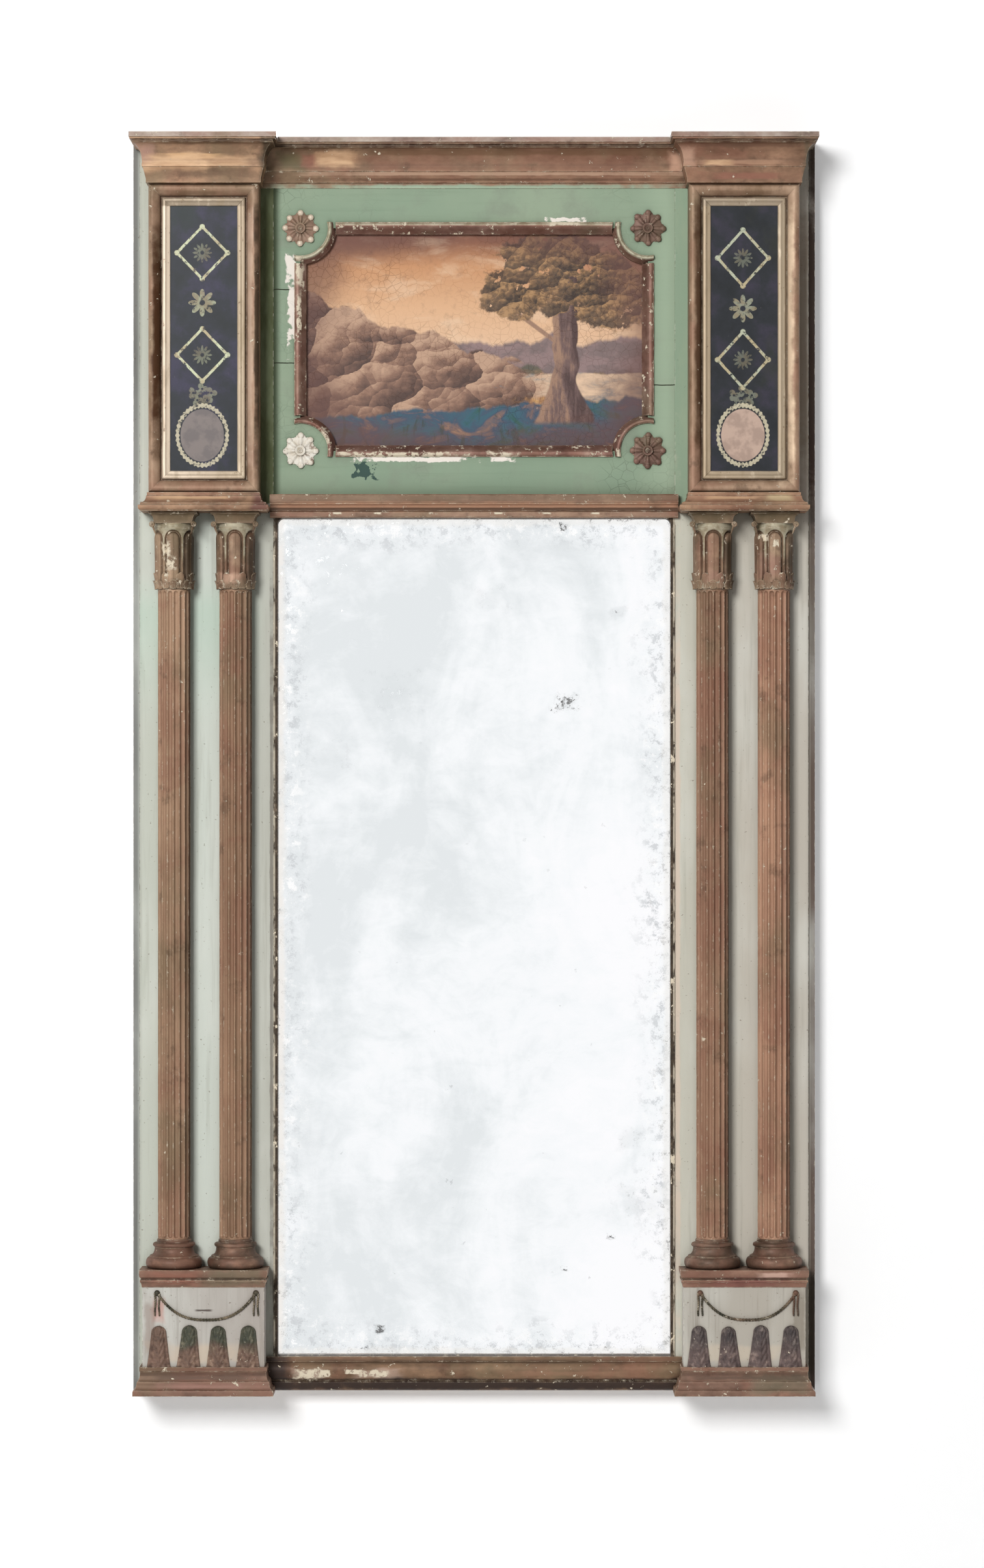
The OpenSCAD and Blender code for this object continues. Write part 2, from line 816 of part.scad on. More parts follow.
// Engaged fluted shaft, cut flat where it meets the board; the flutes end round
module shaft(side, place) {
    run = shaft_h - 2 * (flute_stop + flute_r);
    color(bronze)
        in_front_of(case_d)
            at_column(side, place, z_shaft)
                difference() {
                    cylinder(d = column_d, h = shaft_h, $fn = 96);
                    for (i = [0:flute_count - 1])
                        rotate([0, 0, 360 * (i + 0.5) / flute_count - 90])
                            translate([flute_axis, 0, flute_stop + flute_r]) {
                                cylinder(r = flute_r, h = run, $fn = 32);
                                sphere(r = flute_r, $fn = 32);
                                translate([0, 0, run])
                                    sphere(r = flute_r, $fn = 32);
                            }
                }
}

// Turned base: a heavy torus, a hollow, an upper torus and an astragal
module base(side, place) {
    r = column_r;
    h = base_h;
    low_r = 0.29 * h;
    high_r = 0.1 * h;
    profile = concat(
        [[0, 0], [r + 2, 0]],
        [for (i = [0:10])
            let (a = -90 + 18 * i)
            [r + 2 + low_r * cos(a), low_r + low_r * sin(a)]],
        [[r + 4.5, 0.6 * h], [r + 4.5, 0.63 * h]],
        [for (i = [0:6])
            let (a = -90 - 30 * i)
            [r + 4.5 + 0.06 * h * cos(a), 0.69 * h + 0.06 * h * sin(a)]],
        [for (i = [0:8])
            let (a = -90 + 22.5 * i)
            [r + 4.5 + high_r * cos(a), 0.86 * h + high_r * sin(a)]],
        [[r, 0.96 * h], [r, h], [0, h]]);
    color(bronze)
        in_front_of(case_d)
            at_column(side, place, z_base)
                rotate_extrude($fn = 96)
                    polygon(profile);
}

// Carved capital: round-headed leaves stand on a bell, small leaves curl at the neck
module capital(side, place) {
    bell_r = abacus_w / 2;
    neck_out = 3;
    waist = 2.5;
    tongue_w = 2 * bell_r * sin(180 / tongue_count);
    color(bronze)
        in_front_of(case_d)
            at_column(side, place, z_bell) {
                rotate_extrude($fn = 96)
                    polygon(concat(
                        [[0, 0], [column_r, 0]],
                        quarter(column_r, 0.02 * bell_h, neck_out, 0.1 * bell_h, true),
                        [[bell_r - waist, 0.3 * bell_h], [bell_r - waist + 0.5, 0.9 * bell_h],
                            [bell_r, 0.92 * bell_h], [bell_r, bell_h], [0, bell_h]]));
                for (i = [0:tongue_count - 1])
                    rotate([0, 0, 360 * i / tongue_count - 90])
                        tongue(bell_r, tongue_w);
                for (i = [0:tongue_count - 1])
                    rotate([0, 0, 360 * (i + 0.5) / tongue_count - 90])
                        neck_leaf(bell_r);
                abacus();
            }
}

// A leaf with a round head, a raised rim and a rib, wrapped on the bell
module tongue(bell_r, w) {
    low = 0.12 * bell_h;
    head = 0.86 * bell_h - w / 2;
    leaf_t = 1.6;
    groove_r = 1.7;
    intersection() {
        cylinder(r = bell_r + leaf_t, h = bell_h, $fn = 96);
        difference() {
            rotate([90, 0, 90])
                linear_extrude(2 * bell_r)
                    union() {
                        translate([-0.45 * w, low])
                            square([0.9 * w, head - low]);
                        translate([0, head])
                            circle(r = 0.45 * w, $fn = 32);
                    }
            for (s = [-1, 1])
                translate([bell_r + 1.2 * groove_r, s * 0.18 * w, 0])
                    cylinder(r = groove_r, h = head, $fn = 24);
        }
    }
}

// A small three-lobed leaf; each lobe is [sideways, share of the bell's height, radius]
module neck_leaf(bell_r) {
    sunk = 1.2;
    for (lobe = [[0, 0.2, 4.6], [-4.5, 0.14, 3.4], [4.5, 0.14, 3.4]])
        translate([bell_r - sunk, lobe[0], lobe[1] * bell_h])
            sphere(r = lobe[2], $fn = 24);
}

module abacus() {
    half = abacus_w / 2;
    translate([0, column_out, bell_h])
        moulded_block(abacus_w, column_out + half, abacus_profile);
}

module plinth_cap(side) {
    color(bronze)
        at_pair(side, z_cap)
            moulded_block(plinth_w, plinth_out, cap_profile);
}

module plinth_block(side) {
    color(pale_green)
        translate([side * pair_x - plinth_w / 2, -case_d - plinth_out, z_plinth])
            cube([plinth_w, plinth_out, plinth_h]);
}

module foot_shape(side) {
    at_pair(side, 0)
        moulded_block(plinth_w, plinth_out, foot_profile);
}

module plinth_foot(side) {
    color(bronze)
        foot_shape(side);
}

// Upright leaf in low relief: a bell-shaped outline over a rounded face
module upright_leaf() {
    top_w = 0.66 * leaf_w;
    r = top_w / 2;
    rib_r = 1.6;
    intersection() {
        rotate([90, 0, 0])
            linear_extrude(leaf_out + over)
                union() {
                    translate([0, leaf_h - r])
                        circle(r = r, $fn = 32);
                    polygon(concat(
                        [[-leaf_w / 2, 0], [leaf_w / 2, 0]],
                        [for (i = [0:5])
                            let (t = i / 5)
                            [leaf_w / 2 - (leaf_w / 2 - r) * sin(90 * t), t * (leaf_h - r)]],
                        [for (i = [5:-1:0])
                            let (t = i / 5)
                            [-leaf_w / 2 + (leaf_w / 2 - r) * sin(90 * t), t * (leaf_h - r)]]));
                }
        translate([0, leaf_w - leaf_out, 0])
            cylinder(r = leaf_w, h = leaf_h, $fn = 96);
    }
    translate([0, rib_r - leaf_out - 0.6, 0])
        cylinder(r = rib_r, h = leaf_h - r, $fn = 24);
}

module plinth_leaves(side) {
    margin = 7;
    step = (plinth_w - 2 * margin) / leaf_count;
    color(bronze)
        at_pair(side, z_plinth)
            translate([0, -plinth_out, 0])
                for (i = [0:leaf_count - 1])
                    translate([(i - (leaf_count - 1) / 2) * step, 0, 0])
                        in_front_of_face()
                            upright_leaf();
}

// Cuts a carving flat where it meets the face that it is glued on
module in_front_of_face() {
    room = 20;
    intersection() {
        children();
        translate([-plinth_w, -room, -plinth_h])
            cube([2 * plinth_w, room, 3 * plinth_h]);
    }
}

// A rope hung from two pins, with a short tail below each
module plinth_swag(side) {
    r = (swag_w * swag_w / 4 + swag_drop * swag_drop) / (2 * swag_drop);
    half_angle = asin(swag_w / 2 / r);
    color(bronze)
        at_pair(side, z_cap - swag_low)
            translate([0, -plinth_out, 0])
                in_front_of_face() {
                    translate([0, -0.3 * rope_d, r - swag_drop])
                        rotate([90, 0, 0])
                            rotate([0, 0, -90 - half_angle])
                                rotate_extrude(angle = 2 * half_angle, $fn = 96)
                                    translate([r, 0])
                                        circle(d = rope_d, $fn = 24);
                    for (s = [-1, 1]) {
                        translate([s * swag_w / 2, 0, 0])
                            rotate([90, 0, 0])
                                cylinder(r = 0.9 * rope_d, h = rope_d, $fn = 32);
                        for (t = [-1, 1])
                            translate([s * swag_w / 2 + t * 0.9 * rope_d, -0.3 * rope_d, -swag_tail])
                                cylinder(r1 = 0.42 * rope_d, r2 = 0.25 * rope_d, h = swag_tail, $fn = 24);
                    }
                }
}

module hanging_plates() {
    color("#4a4642")
        difference() {
            for (s = [left, right])
                translate([s * hang_x - hang_w / 2, -hang_t, hang_low])
                    cube([hang_w, hang_t, hang_h]);
            for (s = [left, right])
                translate([s * hang_x, over, hang_hole_z])
                    rotate([90, 0, 0])
                        cylinder(d = hang_hole, h = hang_t + 2 * over, $fn = 48);
            screw_places()
                screw_shape(over);
        }
}

module screws() {
    color("#6b645c")
        screw_places()
            screw_shape();
}

side_board(left);  // side_board_left
side_board(right);  // side_board_right
pilaster_board(left);  // pilaster_board_left
pilaster_board(right);  // pilaster_board_right
top_rail();
middle_rail();
bottom_rail();
frieze_board();
frieze_backboard();
mirror_backboards();
mirror_plate();
mirror_beading();
mirror_blocks();
middle_moulding();
bottom_moulding();
picture_panel();
picture_moulding();
rosette(-1, 1);  // rosette_top_left
rosette(1, 1);  // rosette_top_right
rosette(-1, -1);  // rosette_bottom_left
rosette(1, -1);  // rosette_bottom_right
top_board();
cornice_end(left);  // cornice_left
cornice_centre();
cornice_end(right);  // cornice_right
frieze_block(left);  // frieze_block_left
frieze_block(right);  // frieze_block_right
panel_frame(left);  // panel_frame_left
panel_frame(right);  // panel_frame_right
panel_slip(left);  // panel_slip_left
panel_slip(right);  // panel_slip_right
panel_glass(left);  // panel_glass_left
panel_glass(right);  // panel_glass_right
architrave(left);  // architrave_left
architrave(right);  // architrave_right
capital(left, outer);  // capital_outer_left
capital(left, inner);  // capital_inner_left
capital(right, inner);  // capital_inner_right
capital(right, outer);  // capital_outer_right
shaft(left, outer);  // shaft_outer_left
shaft(left, inner);  // shaft_inner_left
shaft(right, inner);  // shaft_inner_right
shaft(right, outer);  // shaft_outer_right
base(left, outer);  // base_outer_left
base(left, inner);  // base_inner_left
base(right, inner);  // base_inner_right
base(right, outer);  // base_outer_right
plinth_cap(left);  // plinth_cap_left
plinth_cap(right);  // plinth_cap_right
plinth_block(left);  // plinth_block_left
plinth_block(right);  // plinth_block_right
plinth_foot(left);  // plinth_foot_left
plinth_foot(right);  // plinth_foot_right
plinth_leaves(left);  // plinth_leaves_left
plinth_leaves(right);  // plinth_leaves_right
plinth_swag(left);  // plinth_swag_left
plinth_swag(right);  // plinth_swag_right
hanging_plates();
screws();
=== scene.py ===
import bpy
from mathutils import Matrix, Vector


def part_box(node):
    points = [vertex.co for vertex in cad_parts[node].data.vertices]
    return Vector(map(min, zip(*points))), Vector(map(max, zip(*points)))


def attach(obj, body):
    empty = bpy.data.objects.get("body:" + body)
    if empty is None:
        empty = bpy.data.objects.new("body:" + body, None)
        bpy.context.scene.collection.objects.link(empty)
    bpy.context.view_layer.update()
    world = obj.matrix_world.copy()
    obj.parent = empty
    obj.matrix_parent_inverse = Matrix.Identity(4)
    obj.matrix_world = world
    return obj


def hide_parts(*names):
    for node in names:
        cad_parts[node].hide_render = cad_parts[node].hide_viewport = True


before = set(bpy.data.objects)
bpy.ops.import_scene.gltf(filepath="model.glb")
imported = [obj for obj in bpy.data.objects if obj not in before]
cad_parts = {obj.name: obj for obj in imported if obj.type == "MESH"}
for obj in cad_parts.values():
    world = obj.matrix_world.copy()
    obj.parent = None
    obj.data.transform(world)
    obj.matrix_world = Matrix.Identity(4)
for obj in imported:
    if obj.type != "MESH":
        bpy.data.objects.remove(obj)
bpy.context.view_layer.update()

import math

import bmesh
import bpy
import numpy as np
from mathutils import Vector, noise


# The view. The camera stands level, six metres in front of the wall and a hand's breadth
# to the right of the mirror's centre line, at the height of the middle of the mirror.
photo_height = 2409
focal_length_in_pixels = 7387
camera_data = bpy.data.cameras.new("camera")
camera_data.sensor_width = 36
camera_data.lens = focal_length_in_pixels * camera_data.sensor_width / photo_height
camera = bpy.data.objects.new("camera", camera_data)
camera.location = (0.0222, -6.0, 0.752)
camera.rotation_euler = (math.radians(90), 0, 0)
bpy.context.scene.collection.objects.link(camera)
bpy.context.scene.camera = camera
bpy.context.scene.view_settings.view_transform = "Standard"


# The room. A plain white wall carries the mirror, over a plain pale floor. The wall is
# open from behind and to the lamp behind it, so that the back of the mirror can be seen.
def lay(tree, kind, inputs=None, **settings):
    """Adds a node; inputs gives each socket a value or joins it to another node's socket."""
    made = tree.nodes.new(kind)
    for key, value in settings.items():
        setattr(made, key, value)
    for key, value in (inputs or {}).items():
        value = getattr(value, "socket", value)
        if isinstance(value, bpy.types.NodeSocket):
            tree.links.new(value, made.inputs[key])
        else:
            made.inputs[key].default_value = value
    return made


def reckon(step, *values):
    """Lays one node of arithmetic, in the tree of the first value that belongs to one."""
    tree = next(value.tree for value in values if isinstance(value, Value))
    return Value(tree, lay(tree, "ShaderNodeMath", dict(enumerate(values)), operation=step).outputs[0])


def most(*values):
    return reckon("MAXIMUM", *values)


def least(*values):
    return reckon("MINIMUM", *values)


class Value:
    """A value in a tree of nodes; every sum that it is used in lays a node."""

    def __init__(self, tree, socket):
        self.tree = tree
        self.socket = socket

    def __abs__(self):
        return reckon("ABSOLUTE", self)


signs = {"add": "ADD", "sub": "SUBTRACT", "mul": "MULTIPLY", "truediv": "DIVIDE", "pow": "POWER"}
for sign, step in signs.items():
    setattr(Value, "__" + sign + "__", lambda first, second, step=step: reckon(step, first, second))
    setattr(Value, "__r" + sign + "__", lambda second, first, step=step: reckon(step, first, second))


class Tree:
    """A tree of nodes, with a short call that lays one and gives a value that comes out of it."""

    def __init__(self, tree):
        self.tree = tree
        tree.nodes.clear()

    def lay(self, kind, inputs=None, out=0, **settings):
        return Value(self.tree, lay(self.tree, kind, inputs, **settings).outputs[out])

    def ray(self, kind):
        return self.lay("ShaderNodeLightPath", out=kind)

    def apart(self, spot):
        """The three measures of a place."""
        parted = lay(self.tree, "ShaderNodeSeparateXYZ", {0: spot})
        return [Value(self.tree, socket) for socket in parted.outputs]


def white_surface(name, whiteness, lift, open_behind):
    """Matt white that also looks white to the camera; lift is its share of own light there."""
    material = bpy.data.materials.new(name)
    material.use_nodes = True
    white = Tree(material.node_tree)
    seen = most(white.ray("Is Camera Ray"), white.ray("Is Glossy Ray"))
    matt = white.lay("ShaderNodeBsdfDiffuse", {0: (whiteness, whiteness, whiteness, 1)})
    own_light = white.lay("ShaderNodeEmission", {0: (1, 1, 1, 1), 1: seen * lift})
    shade = white.lay("ShaderNodeAddShader", {0: matt, 1: own_light})
    if open_behind:
        touching = 0.004
        back = white.lay("ShaderNodeNewGeometry", out="Backfacing")
        near = reckon("LESS_THAN", white.ray("Ray Length"), touching)
        through = most(most(near, white.ray("Is Shadow Ray")), back)
        clear = white.lay("ShaderNodeBsdfTransparent")
        shade = white.lay("ShaderNodeMixShader", {0: through, 1: shade, 2: clear})
    lay(white.tree, "ShaderNodeOutputMaterial", {0: shade})
    return material


def stage_sheet(name, corners, material):
    mesh = bpy.data.meshes.new(name)
    mesh.from_pydata(corners, [], [tuple(range(len(corners)))])
    mesh.materials.append(material)
    sheet = bpy.data.objects.new(name, mesh)
    bpy.context.scene.collection.objects.link(sheet)


room_half = 9.0
floor_level = -1.3
wall_top = 6.0
wall_gap = 0.001
stage_sheet("wall", [(-room_half, wall_gap, floor_level), (room_half, wall_gap, floor_level),
                     (room_half, wall_gap, wall_top), (-room_half, wall_gap, wall_top)],
            white_surface("wall_white", 0.82, 0.21, True))
stage_sheet("floor", [(-room_half, -room_half, floor_level), (room_half, -room_half, floor_level),
                      (room_half, room_half, floor_level), (-room_half, room_half, floor_level)],
            white_surface("floor_white", 0.6, 0.5, False))


def area_lamp(name, place, aim, size, watts):
    data = bpy.data.lights.new(name, "AREA")
    data.size = size
    data.energy = watts
    lamp = bpy.data.objects.new(name, data)
    lamp.location = place
    lamp.rotation_euler = (Vector(aim) - Vector(place)).to_track_quat("-Z", "Y").to_euler()
    bpy.context.scene.collection.objects.link(lamp)


middle = (0, 0, 0.78)
area_lamp("window_lamp", (-2.2, -6.8, 2.9), middle, 2.1, 450)
area_lamp("fill_lamp", (1.8, -4.6, 1.4), middle, 2.4, 8)
area_lamp("lamp_behind", (0.6, 4.0, 2.4), middle, 1.2, 170)

world = bpy.data.worlds.new("world")
bpy.context.scene.world = world
world.use_nodes = True
ambient = 0.15
sky = Tree(world.node_tree)
sky_seen = most(most(sky.ray("Is Camera Ray"), sky.ray("Is Glossy Ray")), sky.ray("Is Transmission Ray"))
sky_level = sky.lay("ShaderNodeMapRange", {0: sky_seen, 3: ambient, 4: 1.0})
sky_light = sky.lay("ShaderNodeBackground", {0: (1, 1, 1, 1), 1: sky_level})
lay(sky.tree, "ShaderNodeOutputWorld", {0: sky_light})


# The case: two tall pilaster boards and two side boards of pine, painted pale grey-green
# in thin distemper. The paint is rubbed and soiled, streaked by the brush and chipped at its edges.
# Its corners are darkened as painted shade, and some strips and patches carry painted shadow.
def colour(tint):
    """Red, green and blue as they look on a screen, from 0 to 255, for a shader."""
    if isinstance(tint, Value):
        return tint
    return tuple(((v / 255 + 0.055) / 1.055) ** 2.4 for v in tint) + (1.0,)


class Finish(Tree):
    """A painter's finish: one material, its tint so far, and short calls that lay its nodes."""

    def __init__(self, name):
        self.material = bpy.data.materials.new(name)
        self.material.use_nodes = True
        super().__init__(self.material.node_tree)
        self.spot = self.lay("ShaderNodeTexCoord", out="Object")
        self.x, self.y, self.z = self.apart(self.spot)
        self.tint = None

    def stretched(self, across, deep, up):
        return self.lay("ShaderNodeMapping", {"Vector": self.spot, "Scale": (across, deep, up)})

    def mottle(self, scale, detail=5.0, rough=0.6, bend=0.0, at=None):
        """Clouds of a size; three scales, across, deep and up, make streaks of them."""
        if isinstance(scale, tuple):
            scale, at = 1.0, self.stretched(*scale)
        return self.lay("ShaderNodeTexNoise", {"Vector": at or self.spot, "Scale": scale, "Detail": detail,
                                               "Roughness": rough, "Distortion": bend}, out="Fac")

    def between(self, value, low, high):
        """0 at low, 1 at high, smooth in between; low may be the larger."""
        return self.lay("ShaderNodeMapRange", {0: value, 1: low, 2: high}, interpolation_type="SMOOTHSTEP")

    def between_plain(self, value, low, high):
        """0 at low, 1 at high, in equal steps."""
        return self.lay("ShaderNodeMapRange", {0: value, 1: low, 2: high})

    def flecks(self, low, high, *mottle, **more):
        """1 where a mottle is above high, 0 where it is below low."""
        return self.between(self.mottle(*mottle, **more), low, high)

    def cracks(self, scale, width):
        """1 in a net of fine cracks, 0 on the flakes between them."""
        net = self.lay("ShaderNodeTexVoronoi", {"Vector": self.spot, "Scale": scale}, out="Distance",
                       feature="DISTANCE_TO_EDGE")
        return self.between(net, width, 0.0)

    def mark(self, name):
        """A value that the mesh carries at its points."""
        return self.lay("ShaderNodeAttribute", out="Fac", attribute_name=name)

    def mix(self, share, under, over):
        return self.lay("ShaderNodeMix", {0: share, 6: colour(under), 7: colour(over)}, out=2,
                        data_type="RGBA")

    def wash(self, share, over):
        """Lays a share of another colour over the tint so far."""
        self.tint = self.mix(share, self.tint, over)

    def tone(self, value, stops):
        ramp = lay(self.tree, "ShaderNodeValToRGB", {0: value})
        while len(ramp.color_ramp.elements) < len(stops):
            ramp.color_ramp.elements.new(0.5)
        for element, (place, tint) in zip(ramp.color_ramp.elements, stops):
            element.position = place
            element.color = colour(tint)
        return Value(self.tree, ramp.outputs[0])

    def crevice(self, reach):
        """1 deep in a corner, 0 on an open face."""
        return 1.0 - self.lay("ShaderNodeAmbientOcclusion", {"Distance": reach}, out="AO", samples=6)

    def edge(self, radius):
        """1 along sharp edges, 0 on the flats."""
        eased = self.lay("ShaderNodeBevel", {"Radius": radius}, samples=5)
        flat = self.lay("ShaderNodeNewGeometry", out="Normal")
        turn = self.lay("ShaderNodeVectorMath", {0: eased, 1: flat}, out="Value", operation="DOT_PRODUCT")
        return self.between(turn, 0.995, 0.86)

    def patch(self, cx, cz, half_w, half_h, ragged=0.5, grain=70.0, soft=0.15):
        """1 inside a ragged patch round a point on the front."""
        away = most(abs(self.x - cx) / half_w, abs(self.z - cz) / half_h)
        torn = (self.mottle(grain, 4, 0.6) - 0.5) * (4 * ragged)
        return self.between(away + torn, 1.05, 1.05 - soft)

    def lay_on(self, roughness, height=None, deep=0.0003, metal=0.0, gloss=0.5, coat=None):
        """Joins tint, roughness and relief to the shader and ends the material."""
        normal = self.lay("ShaderNodeBevel", {"Radius": 0.0006}, samples=5)
        if height is not None:
            normal = self.lay("ShaderNodeBump", {"Height": height, "Distance": deep, "Strength": 1.0,
                                                 "Normal": normal})
        sockets = {"Base Color": self.tint, "Roughness": roughness, "Metallic": metal,
                   "Specular IOR Level": gloss, "Normal": normal}
        if coat is not None:
            sockets.update({"Coat Weight": coat, "Coat Roughness": 0.06})
        shader = self.lay("ShaderNodeBsdfPrincipled", sockets)
        lay(self.tree, "ShaderNodeOutputMaterial", {0: shader})
        return self.material


def distemper(name, across, dirt_and_shade, streaks=1.0, grimy_edge=None, frieze=None, stains_and_painted_light=()):
    """Thin brushed paint; across lists its colours from the left of the object to its right,
    as (x, colour). grimy_edge is how far the soiling of handling reaches in from the outer edge.
    The third argument is the colour of brushed soiling and of the painted shade in corners.
    frieze gives the colours of the strips left and right of the frieze board, the left pair a
    painted shadow of the left frieze block and the right pair green paint. The last argument
    lists patches of real staining and of painted light and shade, as (x, z, half width,
    half height, colour, share)."""
    coat = Finish(name)
    gesso = (226, 219, 203)
    bare_wood = (112, 92, 72)
    object_half = 0.45
    share = coat.between_plain(coat.x, -object_half, object_half)
    coat.tint = coat.tone(share, [((x + object_half) / (2 * object_half), shade) for x, shade in across])
    brushed = coat.mottle((130, 130, 5), 6, 0.62, 0.4)
    clouds = coat.mottle((11, 11, 4), 4, 0.55)
    coat.wash(coat.between(clouds, 0.42, 0.72) * 0.4, (228, 230, 222))
    coat.wash(coat.between(brushed, 0.5, 0.78) * (0.3 * streaks), dirt_and_shade)
    worn_away = coat.flecks(0.66, 0.72, (60, 60, 16), 5, 0.65)
    coat.wash(worn_away * 0.5, (196, 186, 166))
    specks = coat.flecks(0.7, 0.76, 330, 2, 0.5)
    coat.wash(specks * 0.55, bare_wood)
    # Painted shade: corners are darkened in the soiling colour.
    corner = coat.crevice(0.012) * 0.6
    coat.wash(corner, dirt_and_shade)
    if grimy_edge is not None:
        outward = abs(coat.x)
        board_edge = 0.4235
        handled = coat.between(outward, board_edge - grimy_edge, board_edge - 0.002)
        coat.wash(handled * 0.75, (104, 102, 94))
    # Above the lintel the inner strips take the frieze colours: on the left a painted shadow of the left
    # frieze block, on the right the green paint of the board.
    if frieze is not None:
        frieze_foot, strip_edge = 1.1, 0.275
        fresh = coat.flecks(0.4, 0.62, (30, 30, 9), 4, 0.6)
        shaded_left_strip = coat.mix(fresh, frieze[0], frieze[1])
        right_strip = coat.mix(fresh, frieze[2], frieze[3])
        strips = coat.mix(coat.between(coat.x, -0.01, 0.01), shaded_left_strip, right_strip)
        above_foot = coat.between(coat.z, frieze_foot - 0.001, frieze_foot + 0.001)
        inside = above_foot * coat.between(abs(coat.x), strip_edge + 0.001, strip_edge - 0.001)
        coat.wash(inside, strips)
        mint = coat.between(coat.z, 0.8, 0.98) * coat.between(coat.z, 1.02, 0.96)
        mint = mint * coat.between(coat.x, -0.25, -0.3)
        coat.wash(mint * 0.5, (176, 202, 184))
    # Patches of staining and of painted light and shade.
    for cx, cz, half_w, half_h, over, share in stains_and_painted_light:
        coat.wash(coat.patch(cx, cz, half_w, half_h, 0.3, 40, 0.6) * share, over)
    lost = coat.edge(0.0012) * coat.flecks(0.42, 0.6, 90, 4, 0.6)
    coat.wash(lost, coat.mix(coat.flecks(0.45, 0.55, 150), gesso, bare_wood))
    relief = brushed * 0.5 - (lost + specks)
    return coat.lay_on(0.8, relief, 0.00025, gloss=0.08)


# The pale boards. Their colours across are partly the paint's own tone and partly painted light: the left
# board lighter than the right, lightest between its columns and darker at its inner edge where the columns'
# shade falls. The dark patch at the right edge, beside the right frieze block, is a painted shadow of that
# block.
pale_paint = distemper("pale_paint", [(-0.405, (194, 198, 186)), (-0.372, (196, 200, 188)),
                                      (-0.333, (206, 212, 202)), (-0.29, (196, 198, 187)),
                                      (-0.255, (184, 184, 173)), (0.258, (196, 194, 180)),
                                      (0.33, (195, 189, 176)), (0.405, (190, 183, 171))], (140, 138, 122),
                       grimy_edge=0.013, frieze=((88, 94, 66), (112, 120, 92), (140, 160, 137),
                                                 (146, 163, 139)),
                       stains_and_painted_light=[(0.2525, 0.56, 0.004, 0.54, (216, 198, 180), 0.8),
                               (-0.2515, 0.56, 0.0025, 0.54, (92, 78, 70), 0.6),
                               (0.408, 1.3, 0.008, 0.19, (128, 112, 94), 0.6)])
# The side boards' front edges. The dark patch on the right edge beside the frieze block is a painted shadow
# of the block; the right edge is also darkened at the plinth and at the capitals.
side_paint = distemper("side_paint", [(-0.423, (130, 130, 127)), (-0.4195, (114, 114, 111)),
                                      (-0.4172, (146, 148, 142)), (-0.415, (190, 194, 186)),
                                      (0.415, (160, 152, 141)), (0.4175, (96, 84, 76)),
                                      (0.4215, (100, 86, 78))], (72, 68, 60), 1.2,
                       stains_and_painted_light=[(0.419, 1.3, 0.009, 0.26, (50, 38, 32), 0.95),
                               (0.419, 0.08, 0.006, 0.09, (62, 56, 48), 0.85),
                               (0.419, 0.98, 0.006, 0.1, (90, 80, 70), 0.6)])


def recoat(material, *nodes):
    """Gives nodes of the frame their finish."""
    for name in nodes:
        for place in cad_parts[name].material_slots:
            place.material = material


recoat(pale_paint, "pilaster_board_left", "pilaster_board_right")
recoat(side_paint, "side_board_left", "side_board_right")


# The back: pine rails across, one wide board behind the frieze and upright boards behind the
# mirror, screwed on and never painted, with two iron hanging plates let into the top rail.
def bare_pine(name, across, up, seed):
    wood = Finish(name)
    along = wood.stretched(across, 12.0, up)
    shifted = wood.lay("ShaderNodeVectorMath", {0: along, 1: (seed, seed * 0.7, seed * 1.3)})
    rings = wood.mottle(1.0, 7, 0.6, 1.2, shifted)
    fine = wood.mottle(6.0, 3, 0.7, 0.0, shifted)
    wood.tint = wood.tone(rings, [(0.3, (150, 112, 72)), (0.48, (176, 138, 94)), (0.56, (138, 100, 62)),
                                  (0.7, (188, 152, 106))])
    wood.wash(wood.between(fine, 0.5, 0.7) * 0.35, (104, 76, 48))
    grime = wood.flecks(0.4, 0.75, 5) * 0.45
    wood.wash(grime, (96, 78, 58))
    # Painted shade: the back's corners are darkened.
    wood.wash(wood.crevice(0.01) * 0.8, (48, 38, 28))
    return wood.lay_on(0.85, rings + fine, 0.0003, gloss=0.2)


level_pine = bare_pine("level_pine", 1.6, 34.0, 3.0)
upright_pine = bare_pine("upright_pine", 34.0, 1.6, 8.0)
recoat(level_pine, "top_rail", "middle_rail", "bottom_rail", "frieze_backboard")
recoat(upright_pine, "mirror_backboards", "mirror_blocks")


def old_metal(name, bright, dark, rough):
    iron = Finish(name)
    rust = iron.mottle(160, 6, 0.65)
    iron.tint = iron.mix(iron.between(rust, 0.4, 0.62), bright, dark)
    iron.wash(iron.edge(0.0006) * 0.5, (150, 140, 128))
    return iron.lay_on(rough, rust, 0.0002, metal=0.7, gloss=0.4)


recoat(old_metal("wrought_iron", (84, 80, 76), (64, 48, 38), 0.6), "hanging_plates")
recoat(old_metal("dull_steel", (132, 126, 118), (92, 76, 62), 0.45), "screws")
